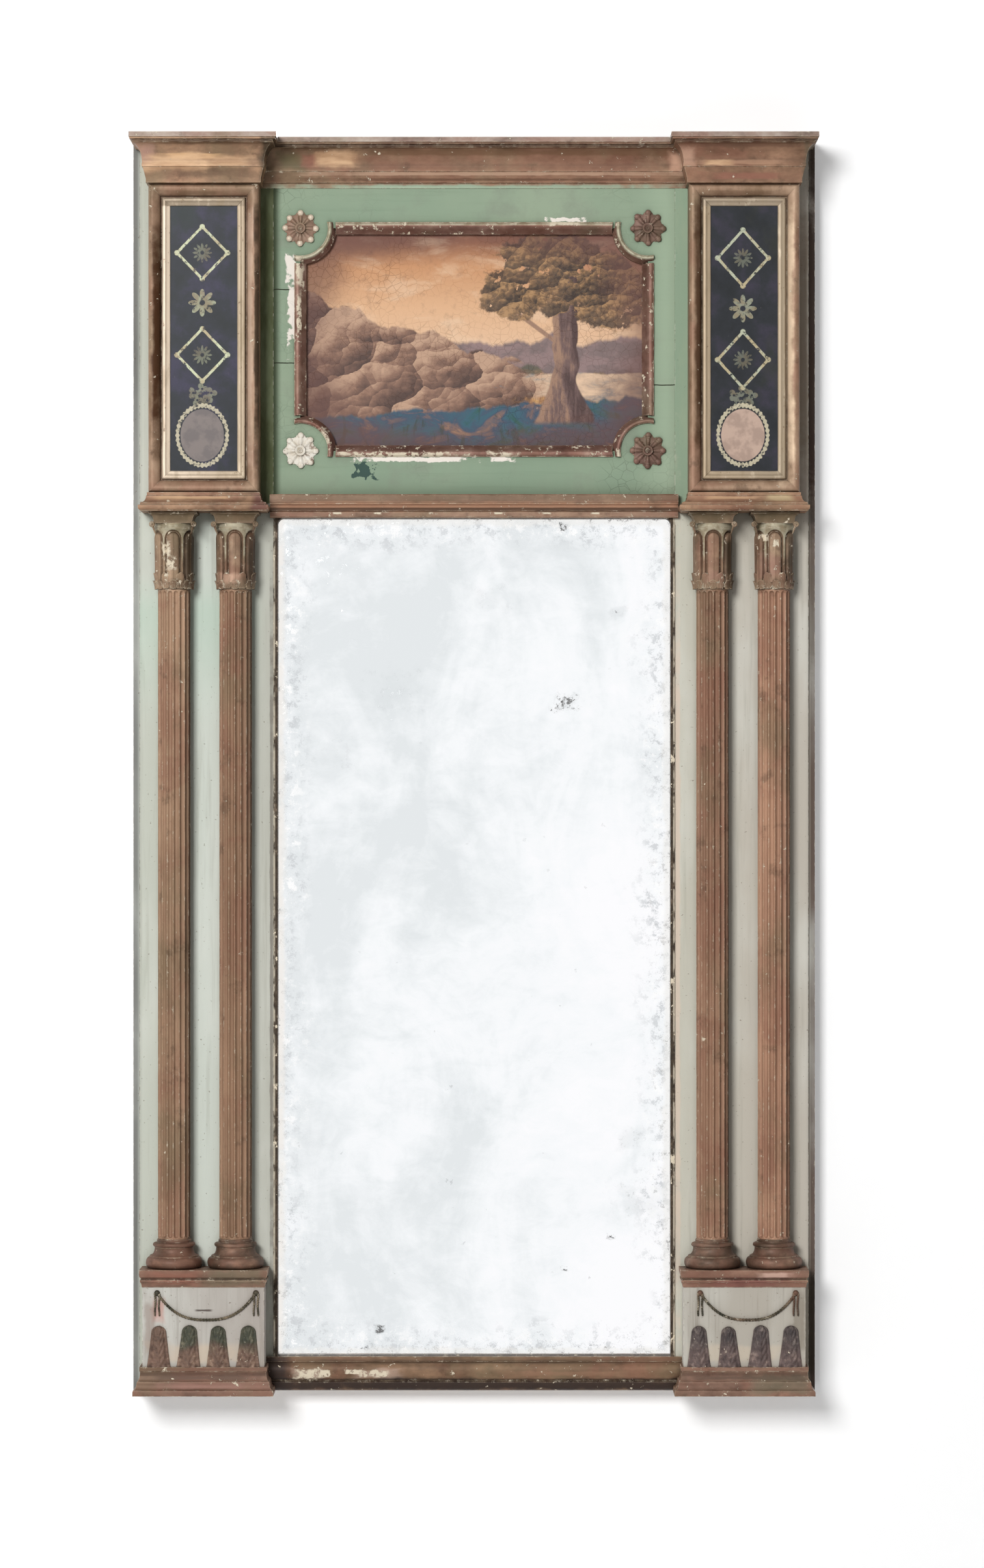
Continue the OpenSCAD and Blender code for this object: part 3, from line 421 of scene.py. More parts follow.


# The mirror: an old silvered plate. The silver has turned grey in fine spots, thickest along
# the edges, and the glass gives back a slightly clouded white. Its tone is lighter to the right
# and darker higher up, and pale bands run along its edges: these are painted reflections.
def silvered():
    plate = Finish("silvered_plate")
    sight_low, sight_high = 0.042, 1.082
    sight_half = 0.244
    side_way = sight_half - abs(plate.x)
    end_way = least(plate.z - sight_low, sight_high - plate.z)
    inward = least(side_way, end_way)
    wide = plate.mottle((7, 7, 4.2), 6, 0.6, 0.7)
    broken = plate.mottle((24, 30, 36), 6, 0.7, 0.5)
    clear = wide * 0.72 + broken * 0.28
    # Painted reflection: the plate is lighter to the right and darker in its upper part.
    reflection_to_the_right = plate.between_plain(plate.x, -0.24, 0.24)
    clear = clear + (reflection_to_the_right * 0.21 - 0.098)
    clear = clear - plate.between(plate.z, 0.35, 0.75) * 0.05
    plate.tint = plate.tone(clear, [(0.38, (229, 233, 235)), (0.47, (240, 243, 245)),
                                    (0.53, (247, 249, 251)), (0.62, (252, 252, 254))])
    wander = plate.mottle(11, 5, 0.65) * 0.11
    in_border = plate.between(inward - wander, -0.005, -0.05)
    fleck = plate.mottle(52, 7, 0.78)
    bright = in_border * plate.between(fleck, 0.54, 0.6)
    dull = in_border * plate.between(fleck, 0.48, 0.4)
    plate.wash(bright, (254, 254, 254))
    plate.wash(dull * 0.75, (200, 203, 206))
    # Painted reflections of the pale beading: a cream band inside the left edge and a pale rim along all
    # edges.
    cream = plate.between(plate.x + wander * 0.12, -0.228, -0.234) * plate.flecks(0.36, 0.5, 36, 4)
    plate.wash(cream * 0.8, (246, 238, 232))
    rim = inward - plate.mottle(40, 4, 0.6) * 0.016
    plate.wash(plate.between(rim, 0.004, -0.003) * 0.6, (240, 238, 234))
    crumbs = plate.flecks(0.555, 0.61, 80, 8, 0.82)
    near_edge = plate.between(inward - wander * 0.75, -0.008, -0.038)
    shares = 0.45 + plate.between(plate.x, 0.05, 0.15) * 0.4
    spots = near_edge * (crumbs * shares)
    blooms = ((0.1145, 0.853, 0.014, 1.0), (0.1105, 1.071, 0.012, 0.9), (-0.165, 1.02, 0.045, 0.5),
              (-0.1, 0.865, 0.04, 0.45), (-0.178, 0.79, 0.03, 0.4), (0.178, 0.965, 0.012, 0.7),
              (-0.1175, 0.0745, 0.008, 0.9), (-0.13, 0.055, 0.01, 0.6), (0.02, 0.985, 0.03, 0.4),
              (0.205, 0.23, 0.035, 0.6), (0.195, 0.31, 0.02, 0.5), (-0.2, 0.3, 0.02, 0.35))
    for cx, cz, half, share in blooms:
        bloom = plate.patch(cx, cz, half, 0.75 * half, 0.7, 45, 0.9)
        blot = bloom * (crumbs * share)
        plate.wash(bloom * (0.45 * share), (206, 211, 213))
        spots = most(spots, blot)
    foxed = plate.flecks(0.46, 0.52, 150, 6, 0.78)
    fox_spots = ((0.1145, 0.853, 0.015), (0.1105, 1.071, 0.011), (0.098, 0.845, 0.006),
                 (-0.1175, 0.0745, 0.007), (0.176, 0.966, 0.004), (-0.137, 0.05, 0.005),
                 (0.17, 0.19, 0.005), (0.112, 0.15, 0.004))
    for cx, cz, half in fox_spots:
        blot = plate.patch(cx, cz, half, 0.7 * half, 0.8, 90, 0.6) * foxed
        spots = most(spots, blot * 1.25)
    loose = plate.flecks(0.7, 0.74, 52, 4, 0.6)
    spots = most(spots, loose * 0.5)
    plate.wash(spots * 0.8, (96, 96, 96))
    haze = spots * 0.4 + 0.06
    return plate.lay_on(haze, plate.mottle(4.0, 2, 0.4), 0.00002, metal=1.0)


recoat(silvered(), "mirror_plate")


# The gilding: bronze powder gilding, brown with age, over red bole and white gesso. It is
# rubbed through on edges and high spots and chipped to the gesso; its hollows and corners are
# darkened partly by soiling and partly as painted shade, and it carries patches of painted light.
gesso_white = (216, 203, 180)


def gilding(name, shades, chips=0.5, gold=(), bare=(), along=(0.6, 1, 1.1), stains_and_painted_light=(), pale=0.6,
            fields=False, dirt_and_shade=0.007):
    """shades are light, middle and dark. gold lists patches of pale exposed ground that also stand
    as painted highlights, and bare lists chips down to white gesso, each as (x, z, half width,
    half height); the stain list adds a colour and a share to that, for real staining and for
    painted light and shade. along stretches the streaks of the rag, pale is how light the rubbed
    edges are, and the last argument is how far soiling and painted shade fill the corners."""
    leaf = Finish(name)
    streaked = leaf.stretched(*along)
    coarse = leaf.mottle(24, 4, 0.55, 0.3, streaked)
    fine = leaf.mottle(105, 5, 0.62, 0.0, streaked)
    cloud = coarse * 0.66 + fine * 0.34
    light, middle, dark = shades
    leaf.tint = leaf.tone(cloud, [(0.33, dark), (0.5, middle), (0.64, light), (0.8, (190, 162, 132))])
    red = leaf.flecks(0.46, 0.62, 12, 5, 0.6, 0.5)
    leaf.wash(red * 0.42, (132, 88, 72))
    olive = leaf.flecks(0.5, 0.66, (11.7, 9, 7.2), 4, 0.6)
    leaf.wash(olive * 0.42, (110, 100, 76))
    smut = leaf.flecks(0.55, 0.7, 38, 5, 0.66)
    leaf.wash(smut * 0.42, (66, 50, 38))
    for cx, cz, half_w, half_h, over, share in stains_and_painted_light:
        leaf.wash(leaf.patch(cx, cz, half_w, half_h, 0.4, 30, 0.7) * share, over)
    # Pale exposed ground, laid where it also serves as a painted highlight.
    for cx, cz, half_w, half_h in gold:
        shown = leaf.patch(cx, cz, half_w, half_h, 0.35, 26, 0.6)
        ground = leaf.mix(leaf.flecks(0.35, 0.65, (16, 40, 64), 5, 0.6),
                          (208, 172, 136), (170, 134, 102))
        leaf.wash(shown * 0.85, ground)
    if fields:
        cream = leaf.mix(leaf.flecks(0.4, 0.62, 90, 4, 0.6), (188, 184, 160), (146, 138, 112))
        leaf.wash(leaf.mark("field") * 0.62, cream)
    # Painted shade with some soiling: the profile's hollows and the corners are darkened.
    hollow = most(leaf.mark("grime"), leaf.crevice(dirt_and_shade))
    leaf.wash(hollow * 0.82, (42, 28, 18))
    rubbed = leaf.edge(0.0013)
    rub = rubbed * leaf.flecks(0.38, 0.62, 70, 4, 0.6)
    leaf.wash(rub * pale, (206, 184, 154))
    leaf.wash(leaf.mark("worn"), (204, 188, 168))
    chipped = leaf.mottle(115, 5, 0.68)
    lost = leaf.between(chipped, 0.695 - 0.035 * chips, 0.725 - 0.035 * chips)
    lost = most(lost, rubbed * leaf.between(chipped, 0.585 - 0.03 * chips, 0.625 - 0.03 * chips))
    lost = lost * 0.9
    left_over = leaf.flecks(0.4, 0.5, 150, 5, 0.66)
    for cx, cz, half_w, half_h in bare:
        worn_off = leaf.patch(cx, cz, half_w, half_h, 0.5, 70, 0.45) * left_over
        lost = most(lost, worn_off)
    leaf.wash(lost, gesso_white)
    rough = cloud * 0.35 + 0.3
    rough = most(rough, lost * 0.9)
    metal = (1.0 - lost) * 0.12
    grain = cloud * 0.8 + leaf.mottle(420, 4, 0.6) * 0.25
    relief = grain - lost * 1.2
    return leaf.lay_on(rough, relief, 0.00025, metal=metal, gloss=0.14)


# The beading: a narrow planed bead that lines the opening of the mirror. It is painted, with
# its inner half nearly black and its outer half pale and chipped.
def bead_paint():
    bead = Finish("bead_paint")
    opening_half = 0.2468
    outer = bead.between(abs(bead.x), opening_half - 0.0004, opening_half + 0.0004)
    outer = outer * bead.flecks(0.4, 0.54, (60, 60, 30), 5, 0.65)
    dark = bead.tone(bead.mottle(120, 5, 0.6), [(0.35, (46, 38, 30)), (0.6, (74, 62, 50)),
                                                (0.75, (130, 114, 98))])
    bead.tint = bead.mix(outer, dark, (178, 168, 150))
    chips = bead.flecks(0.6, 0.63, 75, 5, 0.7)
    bead.wash(chips, gesso_white)
    return bead.lay_on(0.6, bead.mottle(260, 4), 0.0002, gloss=0.15)


recoat(bead_paint(), "mirror_beading")


# The frieze board: one wide board painted sage green, cut out for the picture. The paint
# has fine cracks, three splits along the grain and a dark stain below the picture.
def sage_green():
    coat = Finish("sage_green")
    green, pale, grey = (137, 156, 134), (150, 165, 142), (136, 146, 129)
    coat.tint = coat.mix(coat.flecks(0.35, 0.7, 6, 4, 0.5), green, pale)
    coat.wash(coat.flecks(0.5, 0.72, 17, 5, 0.6) * 0.7, grey)
    brushed = coat.mottle((6, 60, 120), 5, 0.6, 0.3)
    coat.wash(coat.between(brushed, 0.5, 0.75) * 0.22, (112, 130, 108))
    splits = 0.0
    for cx, cz, half_w in ((-0.235, 1.3654, 0.034), (-0.232, 1.2741, 0.028), (0.243, 1.2475, 0.028)):
        sway = (coat.mottle(28, 4) - 0.5) * 0.004
        off = abs(coat.z - cz + sway)
        long_way = abs(coat.x - cx)
        split = coat.between(off, 0.0009, 0.0003) * coat.between(long_way, half_w, 0.7 * half_w)
        splits = most(splits, split)
    stain = coat.patch(-0.1361, 1.1408, 0.012, 0.008, 0.9, 90)
    coat.wash(stain * 0.85, (36, 62, 62))
    net = coat.cracks(85, 0.02) * coat.flecks(0.45, 0.7, 9)
    coat.wash(net * 0.25, (96, 108, 88))
    fresher = coat.between(coat.x, 0.19, 0.24) * 0.45
    coat.wash(fresher, (172, 190, 164))
    # Painted shade: the corners near the blocks are darkened, and the strip beside the left block carries a
    # painted shadow of it.
    coat.wash(coat.crevice(0.028) * 0.85, (64, 70, 50))
    shaded = coat.between(coat.x, -0.238, -0.248) * 0.9
    coat.wash(shaded, (52, 60, 40))
    coat.wash(splits, (44, 46, 34))
    for cx, cz, half_w, half_h in ((-0.08, 1.155, 0.064, 0.0032), (0.034, 1.155, 0.013, 0.003),
                                   (0.115, 1.452, 0.021, 0.0028), (-0.2262, 1.392, 0.0068, 0.016),
                                   (-0.226, 1.34, 0.0052, 0.038)):
        coat.wash(coat.patch(cx, cz, half_w, half_h, 0.75, 85, 0.35), (232, 224, 214))
    chips = coat.flecks(0.745, 0.76, 60, 4, 0.7)
    coat.wash(chips, (206, 204, 184))
    relief = brushed * 0.4 - (splits + net)
    return coat.lay_on(0.75, relief, 0.0003, gloss=0.1)


recoat(sage_green(), "frieze_board")


# The picture: oil on a thin panel, an evening landscape with a lake, boulders and an old tree.
# Its varnish has browned at the edges, and a net of fine cracks runs through the paint.
def evening_landscape():
    oil = Finish("evening_landscape")
    low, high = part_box("picture_panel")
    half_w, half_h = 0.202, 0.127
    centre_up = (low.z + high.z) / 2
    u = oil.x / half_w
    v = (oil.z - centre_up) / half_h
    strokes = oil.mottle((26, 1, 60), 4, 0.6, 0.5)
    dabs = oil.mottle(75, 4, 0.62)

    def ridge(start, slope, rise, size, shift):
        """The height of a line of land at each place across the picture."""
        flat = oil.lay("ShaderNodeCombineXYZ", {0: oil.x, 1: shift})
        rough = oil.mottle(size, 4, 0.55, 0.0, flat) - 0.5
        ground = u * slope + start
        return ground + rough * rise

    def below(line, soft=0.02):
        return oil.between(line - v, -soft, soft)

    def blot(cx, cz, wide, tall, ragged, size):
        """A shape with a torn edge round a point, in shares of the picture's half sizes."""
        dx = (u - cx) / wide
        dz = (v - cz) / tall
        far = reckon("SQRT", dx * dx + dz * dz)
        torn = (oil.mottle(size, 5, 0.6) - 0.5) * ragged
        return oil.between(far + torn, 1.06, 0.94)

    def lumps(across, up, tilt):
        """How brightly rounded forms, stones or clumps of leaves, are lit from the upper left."""
        sway = oil.lay("ShaderNodeTexNoise", {"Vector": oil.spot, "Scale": 34.0, "Detail": 4.0}, out="Color")
        bent = oil.lay("ShaderNodeVectorMath", {0: sway, 1: (0.022, 0.0, 0.022), 2: oil.spot},
                       operation="MULTIPLY_ADD")
        grid = oil.lay("ShaderNodeMapping", {"Vector": bent, "Rotation": (0, tilt, 0),
                                             "Scale": (across, 0, up)})
        stones = oil.lay("ShaderNodeTexVoronoi", {"Vector": grid, "Scale": 1.0}, out="Position")
        off = oil.lay("ShaderNodeVectorMath", {0: grid, 1: stones}, operation="SUBTRACT")
        return oil.lay("ShaderNodeVectorMath", {0: off, 1: (-0.45, 0.0, 0.75)}, out="Value",
                       operation="DOT_PRODUCT")

    def modelled(big, small, grain):
        """From 0 in shadow to 1 in light, from two sizes of lumps and a grain."""
        light = big * 0.46 + small * 0.2
        return light + (grain * 0.9 + 0.05)

    sky = oil.tone(v * 0.5 + 0.5, [(0.42, (224, 188, 156)), (0.66, (216, 172, 134)), (0.86, (194, 142, 102)),
                                   (0.98, (140, 94, 72))])
    cloud = oil.flecks(0.48, 0.68, (13, 1, 34), 5, 0.6, 0.4)
    oil.tint = oil.mix(cloud * 0.45, sky, (228, 198, 168))
    dusk = oil.between(u, 0.35, 1.0) * oil.between(v, -0.1, 0.8)
    oil.wash(dusk * 0.55, (160, 112, 100))
    far_hills = below(ridge(-0.02, 0.04, 0.55, 17, 3.0), 0.025)
    oil.wash(far_hills, oil.mix(oil.between(strokes, 0.4, 0.6), (142, 120, 118), (122, 106, 104)))
    near_hills = below(ridge(-0.22, -0.16, 0.45, 24, 8.0))
    oil.wash(near_hills, oil.tone(strokes, [(0.38, (92, 88, 78)), (0.52, (122, 106, 84)),
                                            (0.64, (150, 116, 88))]))
    lake = below(ridge(-0.34, 0.02, 0.1, 20, 13.0), 0.012)
    water = oil.tone(strokes, [(0.36, (126, 128, 128)), (0.5, (196, 168, 144)), (0.62, (222, 190, 160))])
    oil.wash(lake, water)
    bank = below(ridge(-0.5, -0.1, 0.36, 15, 21.0))
    grass = oil.tone(oil.mottle((110, 1, 34), 4, 0.65, 0.3),
                     [(0.36, (112, 84, 62)), (0.5, (168, 124, 86)), (0.64, (206, 162, 110))])
    oil.wash(bank, grass)
    slope_line = ridge(-0.1, -0.52, 0.75, 12, 55.0)
    boulders = below(slope_line, 0.015) * oil.between(u - strokes, -0.05, -0.25)
    lit_top = oil.between(slope_line - v, 0.34, 0.0) * 0.16
    brushy = (strokes + oil.mottle(80, 5, 0.7)) * 0.5
    shade = modelled(lumps(15, 27, 0.35), lumps(38, 62, 0.35), brushy)
    shade = shade + lit_top
    stone = oil.tone(shade, [(0.26, (82, 64, 58)), (0.42, (112, 86, 75)), (0.56, (142, 110, 93)),
                             (0.76, (186, 152, 128))])
    oil.wash(boulders, stone)
    shore = below(ridge(-0.66, 0.1, 0.42, 19, 34.0))
    blues = oil.tone(oil.mottle((17, 1, 30), 5, 0.6, 1.4),
                     [(0.34, (52, 88, 84)), (0.44, (60, 94, 108)), (0.54, (66, 82, 100)),
                      (0.63, (118, 98, 94)), (0.74, (166, 128, 100))])
    oil.wash(shore, blues)
    reeds = oil.flecks(0.56, 0.66, (70, 1, 24), 4, 0.6, 0.6)
    oil.wash(reeds * shore * 0.6, (52, 66, 52))
    sway = (oil.mottle((0.5, 0, 15), 3, 0.5) - 0.5) * 0.16
    bark_x = u - (0.56 + sway)
    bark_half = 0.075 + oil.between(v, -0.35, -0.85) * 0.11
    bark_x = bark_x / bark_half
    trunk = oil.between(abs(bark_x), 1.08, 0.94) * oil.between(v, -0.84, -0.78)
    bark = oil.tone(bark_x * 0.16 + oil.mottle((90, 1, 20), 5, 0.62),
                    [(0.36, (156, 124, 104)), (0.5, (112, 90, 86)), (0.64, (80, 62, 60))])
    for lean, foot in ((0.75, 0.12), (-0.85, -0.08), (-0.55, 0.3)):
        up = v - foot
        off = u - 0.56 - up * lean
        bough = oil.between(abs(off), 0.03, 0.014) * (oil.between(up, 0.0, 0.03)
                                                      * oil.between(up, 0.52, 0.46))
        trunk = most(trunk, bough)
    oil.wash(trunk, bark)
    for cx, cz, wide, tall in ((0.5, 0.66, 0.4, 0.4), (0.84, 0.46, 0.26, 0.34), (0.24, 0.4, 0.2, 0.2)):
        gaps = oil.flecks(0.64, 0.6, 64, 4, 0.6)
        crown = blot(cx, cz, wide, tall, 1.25, 34) * gaps
        clumps = modelled(lumps(27, 40, -0.2), lumps(95, 120, 0.0), oil.mottle(170, 4, 0.6))
        leafage = oil.tone(clumps, [(0.28, (60, 50, 44)), (0.44, (88, 72, 58)),
                                    (0.58, (120, 94, 70)), (0.76, (168, 132, 94))])
        oil.wash(crown * 0.92, leafage)
    oil.wash(oil.between(dabs, 0.55, 0.72) * 0.18, (96, 72, 62))
    rim = most(abs(u), abs(v))
    corner = abs(u * v) * 0.35
    browned = oil.between(rim + corner + dabs * 0.2, 0.9, 1.28)
    oil.wash(browned * 0.7, (98, 68, 62))
    net = oil.cracks(120, 0.035) * oil.flecks(0.4, 0.65, 14)
    oil.wash(net * 0.3, (84, 64, 52))
    flaked = oil.flecks(0.705, 0.725, 95, 5, 0.7)
    oil.wash(flaked * 0.6, (214, 190, 164))
    relief = strokes * 0.7 - net
    return oil.lay_on(0.5, relief, 0.0002, gloss=0.15)


recoat(evening_landscape(), "picture_panel")


# The mouldings: planed lengths of pine, gessoed and gilded. Each has a line of (reach, height) in
# shares of its size, from the bottom up. It goes round a block with mitred returns, or straight.
def skin(rows):
    """A closed shell over rows of points. Each row is a closed outline of equally many points."""
    count, across = len(rows), len(rows[0])
    points = [tuple(p) for row in rows for p in row]
    faces = []
    for i in range(count - 1):
        a, b = i * across, (i + 1) * across
        for j in range(across):
            k = (j + 1) % across
            faces.append((a + j, a + k, b + k, b + j))
    faces.append(tuple(range(across)))
    faces.append(tuple(range((count - 1) * across, count * across)))
    return points, faces


# The hollows darken the gilding in the profile's recesses as painted shade.
def hollows(profile):
    """For each point of a profile, how deep it lies behind its neighbours: 0 out, 1 well in."""
    window = 0.006
    deep = []
    for reach, height in profile:
        below = max([r for r, z in profile if height - window <= z <= height], default=reach)
        above = max([r for r, z in profile if height <= z <= height + window], default=reach)
        deep.append(min(1.0, max(0.0, min(below, above) - reach) / (0.22 * window)))
    return deep


def carve(name, shells, sharp=32.0, **marks):
    """One mesh object from closed shells, smooth but for its sharp edges; marks are per point."""
    points, faces = [], []
    for shell_points, shell_faces in shells:
        start = len(points)
        points.extend(shell_points)
        faces.extend([start + i for i in face] for face in shell_faces)
    mesh = bpy.data.meshes.new(name)
    mesh.from_pydata(points, [], faces)
    for mark, values in marks.items():
        mesh.attributes.new(mark, "FLOAT", "POINT").data.foreach_set("value", values)
    work = bmesh.new()
    work.from_mesh(mesh)
    bmesh.ops.recalc_face_normals(work, faces=work.faces)
    work.to_mesh(mesh)
    work.free()
    mesh.shade_smooth()
    mesh.set_sharp_from_angle(angle=math.radians(sharp))
    made = bpy.data.objects.new(name, mesh)
    bpy.context.scene.collection.objects.link(made)
    return made


def seat(piece, material, node):
    """Finishes a piece and lets it stand for its node of the frame."""
    piece.data.materials.clear()
    piece.data.materials.append(material)
    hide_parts(node)
    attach(piece, "root")


noise.seed_set(7)


def uneven(points, amount, size, still=None):
    """Moves points a little, as hand work does; still says which ones keep their place."""
    moved = []
    for p in points:
        spot = Vector(p)
        if still is None or not still(spot):
            spot = spot + noise.noise_vector(spot / size) * amount
        moved.append(tuple(spot))
    return moved


def arc(x, z, dx, dz, bulge, steps=12):
    """A quarter hollow, or a quarter round where bulge is true, from (x, z)."""
    turns = [math.pi / 2 * i / steps for i in range(steps + 1)]
    if bulge:
        return [(x + dx * math.sin(a), z + dz * (1 - math.cos(a))) for a in turns]
    return [(x + dx * (1 - math.cos(a)), z + dz * math.sin(a)) for a in turns]


def scaled(line, reach, tall):
    """A profile that is drawn in shares of its reach and height, at its real size."""
    return [(x * reach, z * tall) for x, z in line]


def round_a_block(w, d, side_steps, front_steps):
    """Places (across, out) from the boards round the front of a block and back to them."""
    row = [(-w, -d * i / side_steps) for i in range(side_steps)]
    row += [(-w + 2 * w * i / front_steps, -d) for i in range(front_steps)]
    return row + [(w, -d + d * i / side_steps) for i in range(side_steps + 1)]


def seat_moulding(node, rows, grime, material):
    """Skins the rows, makes them as uneven as hand work and seats the moulding."""
    low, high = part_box(node)
    points, faces = skin(rows)
    points = uneven(points, 0.00025, 0.02, lambda p: p.y > high.y - 1e-5 or p.z < low.z + 1e-5)
    seat(carve("moulding_" + node, [(points, faces)], 32, grime=grime), material, node)


def block_moulding(node, body, material, line):
    """A moulding with two mitred returns, from the body that it goes round and its own box."""
    step = 0.009
    low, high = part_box(node)
    body_low, body_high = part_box(body)
    body_half = (body_high.x - body_low.x) / 2
    reach = (high.x - low.x) / 2 - body_half
    body_out = high.y - low.y - reach
    profile = scaled(line, reach, high.z - low.z)
    side_steps, front_steps = round((body_out + reach) / step), round(2 * (body_half + reach) / step)
    rows = [[((low.x + high.x) / 2 + x, high.y + y, low.z + z) for x,
             y in round_a_block(body_half + r, body_out + r, side_steps, front_steps)] for r, z in profile]
    grime = [value for value, row in zip(hollows(profile), rows) for _ in row]
    seat_moulding(node, rows, grime, material)


foot_line = ([(1, 0), (1, 0.14)] + arc(0.93, 0.2, -0.35, 0.24, True) + arc(0.52, 0.5, -0.3, 0.34, True)
             + [(0.3, 0.86), (0.3, 1)])
cap_line = (arc(0.2, 0, 0.5, 0.3, False) + [(0.7, 0.42), (0.4, 0.42), (0.4, 0.52)]
            + arc(0.5, 0.55, 0.5, 0.3, True) + [(1, 1)])
architrave_line = ([(0.8, 0)] + arc(0.8, 0.04, 0.2, 0.14, True) + [(1, 0.3), (0.78, 0.34), (0.78, 0.42)]
                   + arc(0.7, 0.46, -0.5, 0.34, True) + [(0.12, 0.84), (0.12, 1)])
cornice_line = ([(0.04, 0), (0.13, 0.02), (0.13, 0.11), (0.3, 0.36), (0.35, 0.37), (0.35, 0.43)]
                + arc(0.33, 0.45, 0.56, 0.43, False) + [(0.84, 0.9), (0.84, 0.94), (1, 0.955), (1, 1)])
reddish = ((150, 118, 100), (126, 98, 83), (94, 70, 58))
# The pale pink line along the top of the right cap is a painted highlight; the other patches are stains.
cap_stains_and_highlight = {"left": [(-0.37, 0.143, 0.032, 0.01, (150, 100, 84), 0.55),
                       (-0.29, 0.145, 0.045, 0.014, (112, 104, 84), 0.6)],
              "right": [(0.33, 0.14, 0.07, 0.008, (126, 78, 72), 0.6),
                        (0.37, 0.148, 0.026, 0.004, (200, 166, 150), 0.8)]}
# Painted light on the architraves: the dark patch at the right end of the left one is painted shade, and the
# light lines and patches along their tops are painted highlights.
architrave_light_and_shade = {"left": [(-0.262, 1.1, 0.012, 0.014, (96, 62, 58), 0.8),
                              (-0.34, 1.104, 0.06, 0.002, (190, 156, 120), 0.6)],
                     "right": [(0.375, 1.104, 0.022, 0.005, (184, 166, 130), 0.7),
                               (0.32, 1.104, 0.04, 0.002, (196, 160, 124), 0.6)]}
foot_stains = {"left": [(-0.333, 0.018, 0.12, 0.03, (96, 72, 60), 0.4),
                        (-0.33, 0.012, 0.08, 0.004, (150, 112, 100), 0.5),
                        (-0.33, 0.022, 0.09, 0.003, (72, 56, 46), 0.6)],
               "right": [(0.375, 0.014, 0.05, 0.014, (104, 98, 80), 0.6),
                         (0.33, 0.022, 0.09, 0.003, (70, 56, 46), 0.6)]}
for side in ("left", "right"):
    feet = gilding("foot_bronze_" + side, reddish, chips=1.8, stains_and_painted_light=foot_stains[side])
    block_moulding("plinth_foot_" + side, "plinth_block_" + side, feet, foot_line)
    caps = gilding("cap_bronze_" + side, reddish, chips=1.3, stains_and_painted_light=cap_stains_and_highlight[side])
    block_moulding("plinth_cap_" + side, "plinth_block_" + side, caps, cap_line)
    finish = gilding("architrave_bronze_" + side, ((172, 138, 110), (146, 115, 91), (100, 76, 58)),
                     chips=1.5, stains_and_painted_light=architrave_light_and_shade[side])
    block_moulding("architrave_" + side, "frieze_block_" + side, finish, architrave_line)

# The pale patches on the cornices' coves are partly worn gilding showing the ground and partly painted
# highlights. Among the cornices' patches, the dark ends away from the light and the dark bands along top and
# foot are painted shade, the light bands and the light ends facing the light are painted highlights, and the
# reddish band on the right is a stain.
cornice_ground_and_highlights = {"left": [(-0.372, 1.5165, 0.04, 0.012), (-0.3, 1.5175, 0.045, 0.01)],
                   "right": [(0.3, 1.516, 0.02, 0.004)]}
cornice_shades = {"left": ((176, 140, 110), (146, 116, 92), (104, 80, 62)),
                  "right": ((152, 118, 94), (126, 96, 76), (90, 66, 50))}
cornice_light_and_stains = {"left": [(-0.405, 1.525, 0.016, 0.02, (178, 140, 126), 0.6),
                           (-0.25, 1.515, 0.015, 0.045, (46, 40, 28), 0.95),
                           (-0.335, 1.54, 0.075, 0.0035, (96, 74, 56), 0.6),
                           (-0.345, 1.5235, 0.045, 0.004, (222, 180, 132), 0.7),
                           (-0.325, 1.5035, 0.06, 0.006, (104, 82, 66), 0.55)],
                  "right": [(0.416, 1.52, 0.013, 0.03, (84, 80, 64), 0.9),
                            (0.34, 1.5, 0.06, 0.005, (140, 92, 78), 0.6),
                            (0.335, 1.538, 0.075, 0.0045, (96, 68, 54), 0.65),
                            (0.262, 1.523, 0.012, 0.014, (186, 148, 126), 0.7),
                            (0.33, 1.5165, 0.065, 0.003, (176, 138, 112), 0.6)]}
for side in ("left", "right"):
    finish = gilding("cornice_bronze_" + side, cornice_shades[side], chips=0.8,
                     gold=cornice_ground_and_highlights[side], stains_and_painted_light=cornice_light_and_stains[side])
    block_moulding("cornice_" + side, "frieze_block_" + side, finish, cornice_line)


def straight_moulding(node, material, line, meet=lambda z: 0.0):
    """A run between the two blocks; meet says how far it is coped back at each height."""
    step = 0.012
    low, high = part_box(node)
    half = (high.x - low.x) / 2
    profile = scaled(line, high.y - low.y, high.z - low.z)
    outline = [(0.0, profile[0][1])] + profile + [(0.0, profile[-1][1])]
    count = round(2 * half / step)
    rows = [[((2 * i / count - 1) * (half - meet(z)), high.y - r, low.z + z) for r, z in outline]
            for i in range(count + 1)]
    grime = ([0.0] + hollows(profile) + [0.0]) * len(rows)
    seat_moulding(node, rows, grime, material)


low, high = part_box("cornice_centre")
tall = high.z - low.z
cornice_reaches, cornice_heights = zip(*scaled(cornice_line, high.y - low.y, tall))
behind_return = high.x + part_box("frieze_block_left")[1].x
green_share = 0.105
quirk = green_share + 0.001 / tall
